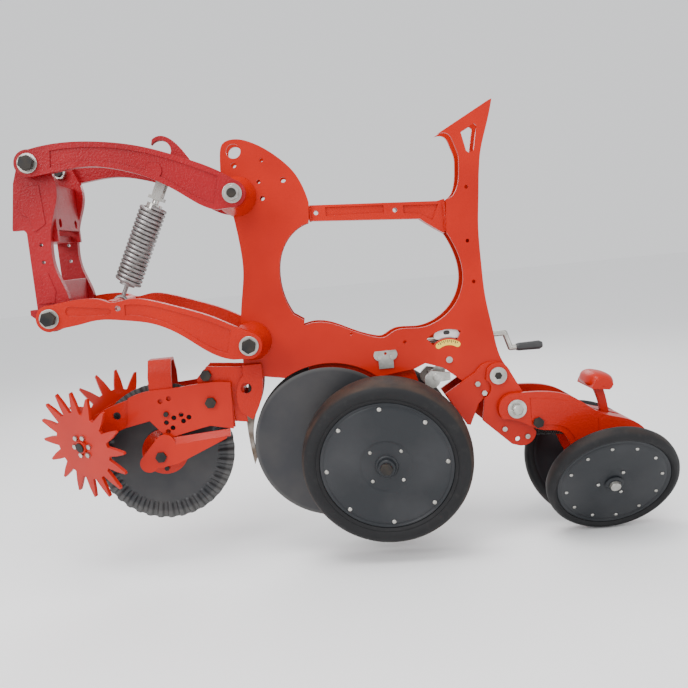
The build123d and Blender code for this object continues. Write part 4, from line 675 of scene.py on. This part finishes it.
# ---------------------------------------------------------------- opener discs
# Hardened 15 inch blades with a ground bevel and a riveted cast hub. They are dark grey with
# fine circular grinding marks, worn brighter at the edge.
DISC_PLACE = wheel_frame(0.63597, -0.027, -0.48705, 5.5, 5.1)


def ground_steel(name, place, edge, colour=(0.030, 0.031, 0.035, 1)):
    """Dark hardened steel with circular marks and a brighter rim."""
    steel = Finish(name, metallic=0.25, gloss=0.35)
    radius = on_wheel(steel, place)
    from_axis = steel.node("ShaderNodeCombineXYZ", {}, {0: radius * 1400.0, 1: 0.0, 2: 0.0})
    marks = steel.noise(1.0, 4, from_axis)
    blotch = steel.step(steel.noise(12, 5), 0.35, 0.75)
    shade = steel.mix(blotch, colour, (0.050, 0.048, 0.048, 1))
    shade = steel.mix(steel.step(radius, edge, edge + 0.006) * 0.5, shade, (0.10, 0.098, 0.095, 1))
    dullness = marks * 0.16 + (blotch * 0.1 + 0.30)
    return steel.feed(Base_Color=shade, Roughness=dullness, Normal=steel.bump(marks, 0.00008))


BEVEL_FROM = 0.181
for side, where in (("left", DISC_PLACE), ("right", RIGHT @ DISC_PLACE)):
    disc_finish = ground_steel("opener_steel_" + side, where, BEVEL_FROM)
    eased("opener_disc_" + side, disc_finish, 0.0005, "disc_steel", small=(0.01, zinc, "zinc"))


# ---------------------------------------------------------------- coulter
# Flat steel blade whose rim is pressed into radial flutes, so that it cuts through residue. It
# is clamped between two red hub flanges with four screws and runs on the coulter axle.
COULTER_PLACE = Matrix.Translation((0.22397, 0, -0.47205)) @ Matrix.Rotation(math.radians(90), 4, "X")
FLUTES, FLUTE_LIFT, FLUTE_FROM = 38, 4.2, 128.0


def fluting(radius, angle):
    """Height of the pressed flutes at a point of the blade, in millimetres."""
    share = min(max((radius - FLUTE_FROM) / 7.0, 0), 1)
    return FLUTE_LIFT * share * math.tanh(2.2 * math.sin(FLUTES * angle - (radius - FLUTE_FROM) * 0.010))


BLADE_PROFILE = [(8.1, -2.5), (60, -2.5), (118, -2.5), (125, -2.5), (128, -2.5), (130, -2.4), (134, -2.3),
                 (140, -2.2), (150, -2.1), (158, -1.8), (165, -1.2), (170, -0.6), (170, 0.6), (165, 1.2),
                 (158, 1.8), (150, 2.1), (140, 2.2), (134, 2.3), (130, 2.4), (128, 2.5), (125, 2.5),
                 (118, 2.5), (60, 2.5), (8.1, 2.5)]
FLANGE_PROFILE = [(8.1, 2.5), (57, 2.5), (57, 6), (55, 7.5), (26, 7.5), (24, 9), (24, 25), (22.5, 26),
                  (8.1, 26)]
coulter_steel = ground_steel("coulter_steel", COULTER_PLACE, 0.150, (0.026, 0.027, 0.030, 1))
blade = placed(turned(BLADE_PROFILE, FLUTES * 12, fluting), COULTER_PLACE)
put("coulter_blade", blade, coulter_steel, "coulter", "coulter_disc", slot="disc_steel")
flange = turned(FLANGE_PROFILE, 72)
other_flange = flange.copy()
other_flange.transform(Matrix.Rotation(math.pi, 4, "X"))
flanges = joined(flange, other_flange)
smooth_shaded(flanges, 38)
put("coulter_flanges", placed(flanges, COULTER_PLACE), cast_paint, "coulter", slot="red_paint")
SCREW_OUT = 0.0095
flange_screws = [screws.made(oxide, COULTER_PLACE @ Matrix.Translation((0, 0, out)), Count=4,
                             Circle_Radius=0.042, Corner_Radius=0.0065, Head_Height=0.004)
                 for out in (SCREW_OUT, -SCREW_OUT)]
put("coulter_flange_screws", joined(*flange_screws), oxide, "coulter", slot="black_oxide")


# ---------------------------------------------------------------- spiked wheels
# Laser-cut and dished steel wheels that sweep residue off the row, powder coated red. Each is
# held to its hub by plated screws.
for node in ("spiked_wheel_left", "spiked_wheel_right"):
    eased(node, plate_paint, 0.0006, small=(0.02, zinc, "zinc"))


# ---------------------------------------------------------------- hub bolt heads and pivot washers
# Hexagon heads and caps of the gauge wheel axles, a plated washer under the head of the left
# lower rear pivot, and on the two tail pivots a thin black hexagon of painted shade for a socket and a
# six-sided boss.
def hexagon(radius, low, high, chamfer=1.5):
    """Hexagon head between two heights, with a chamfered top. Millimetres."""
    profile = [(0.05, low), (radius, low), (radius, high - chamfer), (radius - chamfer * 1.4, high),
               (0.05, high)]
    return turned(profile, 6)


def on_side(x, y, z):
    """Matrix whose Z points out of the left side."""
    return Matrix.Translation((x, y, z)) @ Matrix.Rotation(math.radians(90), 4, "X")


CAP_PROFILE = [(9.2, 2.2), (22.5, 2.2), (22.5, 8), (21, 12.4), (19.5, 13.6), (9.2, 13.6)]
LOW_WASHER_PROFILE = [(12.6, 0), (22.4, 0), (22.4, 3.6), (21.8, 4.3), (12.6, 4.3)]
axle_cap = placed(turned(CAP_PROFILE, 64), GAUGE_PLACE)
axle_head = placed(hexagon(15.5, 13.6, 19.5), GAUGE_PLACE)
put("gauge_axle_cap_left", axle_cap.copy(), gauge_paint, "gauge_arm_body_left", slot="wheel_grey")
put("gauge_axle_cap_right", flipped(axle_cap), gauge_paint_right, "gauge_arm_body_right", slot="wheel_grey")
put("gauge_axle_head_left", axle_head.copy(), oxide, "gauge_arm_body_left", slot="black_oxide")
put("gauge_axle_head_right", flipped(axle_head), oxide, "gauge_arm_body_right", slot="black_oxide")
low_washer = placed(turned(LOW_WASHER_PROFILE, 56), on_side(0.46857, -0.137, -0.21705))
put("low_pivot_washer", low_washer, zinc, "shank", slot="zinc")
# Thin black hexagon that paints the shade inside the pin's socket; the recess itself is not modelled.
socket_painted_shade = placed(hexagon(9.5, 0, 0.4, 0.1), on_side(1.05297, -0.054, -0.35905))
put("tail_pin_socket_painted_shade", socket_painted_shade, oxide, "shank", slot="black_oxide")
pivot_boss = placed(hexagon(13.5, 0, 5.5), on_side(1.08997, -0.074, -0.44305))
put("closing_pivot_boss", pivot_boss, zinc, "shank", slot="zinc")


# ---------------------------------------------------------------- closing lever's grip
# Domed steel cap welded on the lever, big enough for a gloved hand and painted red like it.
# The underside is flatter than the top.
GRIP_MIDDLE = Vector((1.3085, 0, -0.4085))
GRIP_HALF = Vector((0.035, 0.0555, 0.029))
GRIP_TILT, GRIP_SQUARENESS, GRIP_UNDERSIDE = 15, 0.72, 0.45
dome = bmesh.new()
bmesh.ops.create_uvsphere(dome, u_segments=40, v_segments=24, radius=1)
for point in dome.verts:
    point.co = Vector([math.copysign(abs(c) ** GRIP_SQUARENESS, c) * half
                       for c, half in zip(point.co, GRIP_HALF)])
    if point.co.z < 0:
        point.co.z *= GRIP_UNDERSIDE
grip = bpy.data.meshes.new("grip")
dome.to_mesh(grip)
dome.free()
grip.transform(Matrix.Translation(GRIP_MIDDLE) @ Matrix.Rotation(math.radians(GRIP_TILT), 4, "Y"))
smooth_shaded(grip, 50)
put("closing_lever_grip", grip, plate_paint, home["closing_lever"], slot="red_paint")


# ---------------------------------------------------------------- crank grip
# Moulded black plastic sleeve with a fine matt skin, pushed over the end of the depth crank so
# that it turns in the hand.
moulded = Finish("moulded_plastic")
moulded_black = moulded.feed(
    Base_Color=moulded.mix(moulded.noise(40, 4), (0.014, 0.014, 0.015, 1), (0.034, 0.034, 0.035, 1)),
    Roughness=moulded.noise(60, 3) * 0.2 + 0.32, Normal=moulded.bump(moulded.noise(700, 2), 0.00012))
eased("crank_grip", moulded_black, 0.0015, "black_plastic")


# ---------------------------------------------------------------- depth scale
# Yellow arc with plain black ticks, printed on the left shank plate below the pointer's slot,
# and a white face with one black mark on the lever's pointer.
LEVER_PIVOT = Vector((0.93997, 0, -0.31105))
PLATE_FACE = -0.032
yellow = Finish("scale_yellow")
scale_yellow = yellow.feed(
    Base_Color=yellow.mix(yellow.noise(30, 3), (0.85, 0.56, 0.03, 1), (0.90, 0.66, 0.10, 1)),
    Roughness=yellow.noise(90, 2) * 0.1 + 0.40, Normal=yellow.bump(yellow.noise(500, 2), 0.00005))
tick_ink = Finish("tick_ink")
tick_black = tick_ink.feed(
    Base_Color=tick_ink.mix(tick_ink.noise(80, 2), (0.010, 0.010, 0.010, 1), (0.025, 0.024, 0.022, 1)),
    Roughness=tick_ink.noise(90, 2) * 0.1 + 0.45, Normal=tick_ink.bump(tick_ink.noise(500, 2), 0.00004))
white = Finish("pointer_white")
pointer_white = white.feed(
    Base_Color=white.mix(white.noise(50, 3), (0.80, 0.80, 0.80, 1), (0.68, 0.68, 0.70, 1)),
    Roughness=white.noise(90, 2) * 0.12 + 0.35, Normal=white.bump(white.noise(500, 2), 0.00004))


def arc_band(centre, inner, outer, first, last, face, thick, round_ends=True, steps=28):
    """Flat curved band on a side face, between two radii in metres.

    first and last are its end angles from straight up, in degrees.
    """
    middle, half = (inner + outer) / 2, (outer - inner) / 2
    rim = []
    for i in range(steps + 1):
        angle = math.radians(first + (last - first) * i / steps)
        rim.append((outer * math.sin(angle), outer * math.cos(angle)))
    if round_ends:
        a = math.radians(last)
        for i in range(1, 8):
            b = a + math.pi * i / 8
            rim.append((middle * math.sin(a) + half * math.sin(b), middle * math.cos(a) + half * math.cos(b)))
    for i in range(steps + 1):
        angle = math.radians(last + (first - last) * i / steps)
        rim.append((inner * math.sin(angle), inner * math.cos(angle)))
    if round_ends:
        a = math.radians(first) + math.pi
        for i in range(1, 8):
            b = a + math.pi * i / 8
            rim.append((-middle * math.sin(a) + half * math.sin(b),
                        -middle * math.cos(a) + half * math.cos(b)))
    work = bmesh.new()
    low = [work.verts.new((centre.x + x, face, centre.z + z)) for x, z in rim]
    high = [work.verts.new((centre.x + x, face - thick, centre.z + z)) for x, z in rim]
    work.faces.new(low)
    work.faces.new(high)
    for i in range(len(rim)):
        j = (i + 1) % len(rim)
        work.faces.new((low[i], low[j], high[j], high[i]))
    bmesh.ops.recalc_face_normals(work, faces=work.faces)
    bmesh.ops.triangulate(work, faces=[f for f in work.faces if len(f.verts) > 4])
    mesh = bpy.data.meshes.new("band")
    work.to_mesh(mesh)
    work.free()
    return mesh


SCALE_IN, SCALE_OUT, SCALE_SWEEP = 0.036, 0.050, 33
put("depth_scale", arc_band(LEVER_PIVOT, SCALE_IN, SCALE_OUT, -SCALE_SWEEP, SCALE_SWEEP, PLATE_FACE, 0.0004),
    scale_yellow, "shank")
ticks = [arc_band(LEVER_PIVOT, SCALE_OUT - (0.008 if i % 2 else 0.0055), SCALE_OUT - 0.001, a - 1.3, a + 1.3,
                  PLATE_FACE - 0.0004, 0.0002, False, 2) for i, a in enumerate(range(-30, 31, 6))]
put("depth_scale_ticks", joined(*ticks), tick_black, "shank")
pointer_face = arc_band(LEVER_PIVOT, 0.055, 0.073, -21, 21, -0.0220, 0.0006)
put("pointer_face", pointer_face, pointer_white, "depth_lever_body")
pointer_mark = arc_band(LEVER_PIVOT, 0.061, 0.071, -2.6, 2.6, -0.0226, 0.0003)
put("pointer_mark", pointer_mark, tick_black, "depth_lever_body")


# ---------------------------------------------------------------- weld beads
# Rippled fillet welds where the crossbar meets the horns, laid by hand and painted over with the
# rest of the shank.
BEAD_SIZE, RIPPLE_STEP, BEAD_SIDE = 0.0036, 0.003, 0.0215
bead = Recipe("weld_bead", {"Length": FLOAT, "Size": FLOAT, "Ripples": COUNT, "Material": MATERIAL})
step = bead.node("ShaderNodeMath", {"operation": "DIVIDE"}, {0: bead["Length"], 1: bead["Ripples"]})
stride = bead.node("ShaderNodeCombineXYZ", {}, {0: 0.0, 1: 0.0, 2: step})
line = bead.node("GeometryNodeMeshLine", {}, {"Count": bead["Ripples"], "Offset": stride})
drop = bead.node("GeometryNodeMeshUVSphere", {}, {"Segments": 14, "Rings": 8, "Radius": bead["Size"]})
squat = bead.node("GeometryNodeTransform", {}, {"Geometry": drop, "Scale": (1.0, 1.0, 0.7)})
bead.close(bead.node("GeometryNodeInstanceOnPoints", {}, {"Points": line, "Instance": squat}))
welds = []
for x, low, high in ((0.6375, 0.055, 0.090), (0.9605, 0.004, 0.070)):
    for y in (-BEAD_SIDE, BEAD_SIDE):
        start, end = Vector((x, y, low)), Vector((x - 0.001, y, high))
        length = (end - start).length
        welds.append(bead.made(plate_paint, along(start, end), Length=length, Size=BEAD_SIZE,
                               Ripples=int(length / RIPPLE_STEP)))
crossbar_welds = joined(*welds)
smooth_shaded(crossbar_welds, 60)
put("crossbar_welds", crossbar_welds, plate_paint, "shank", slot="red_paint")
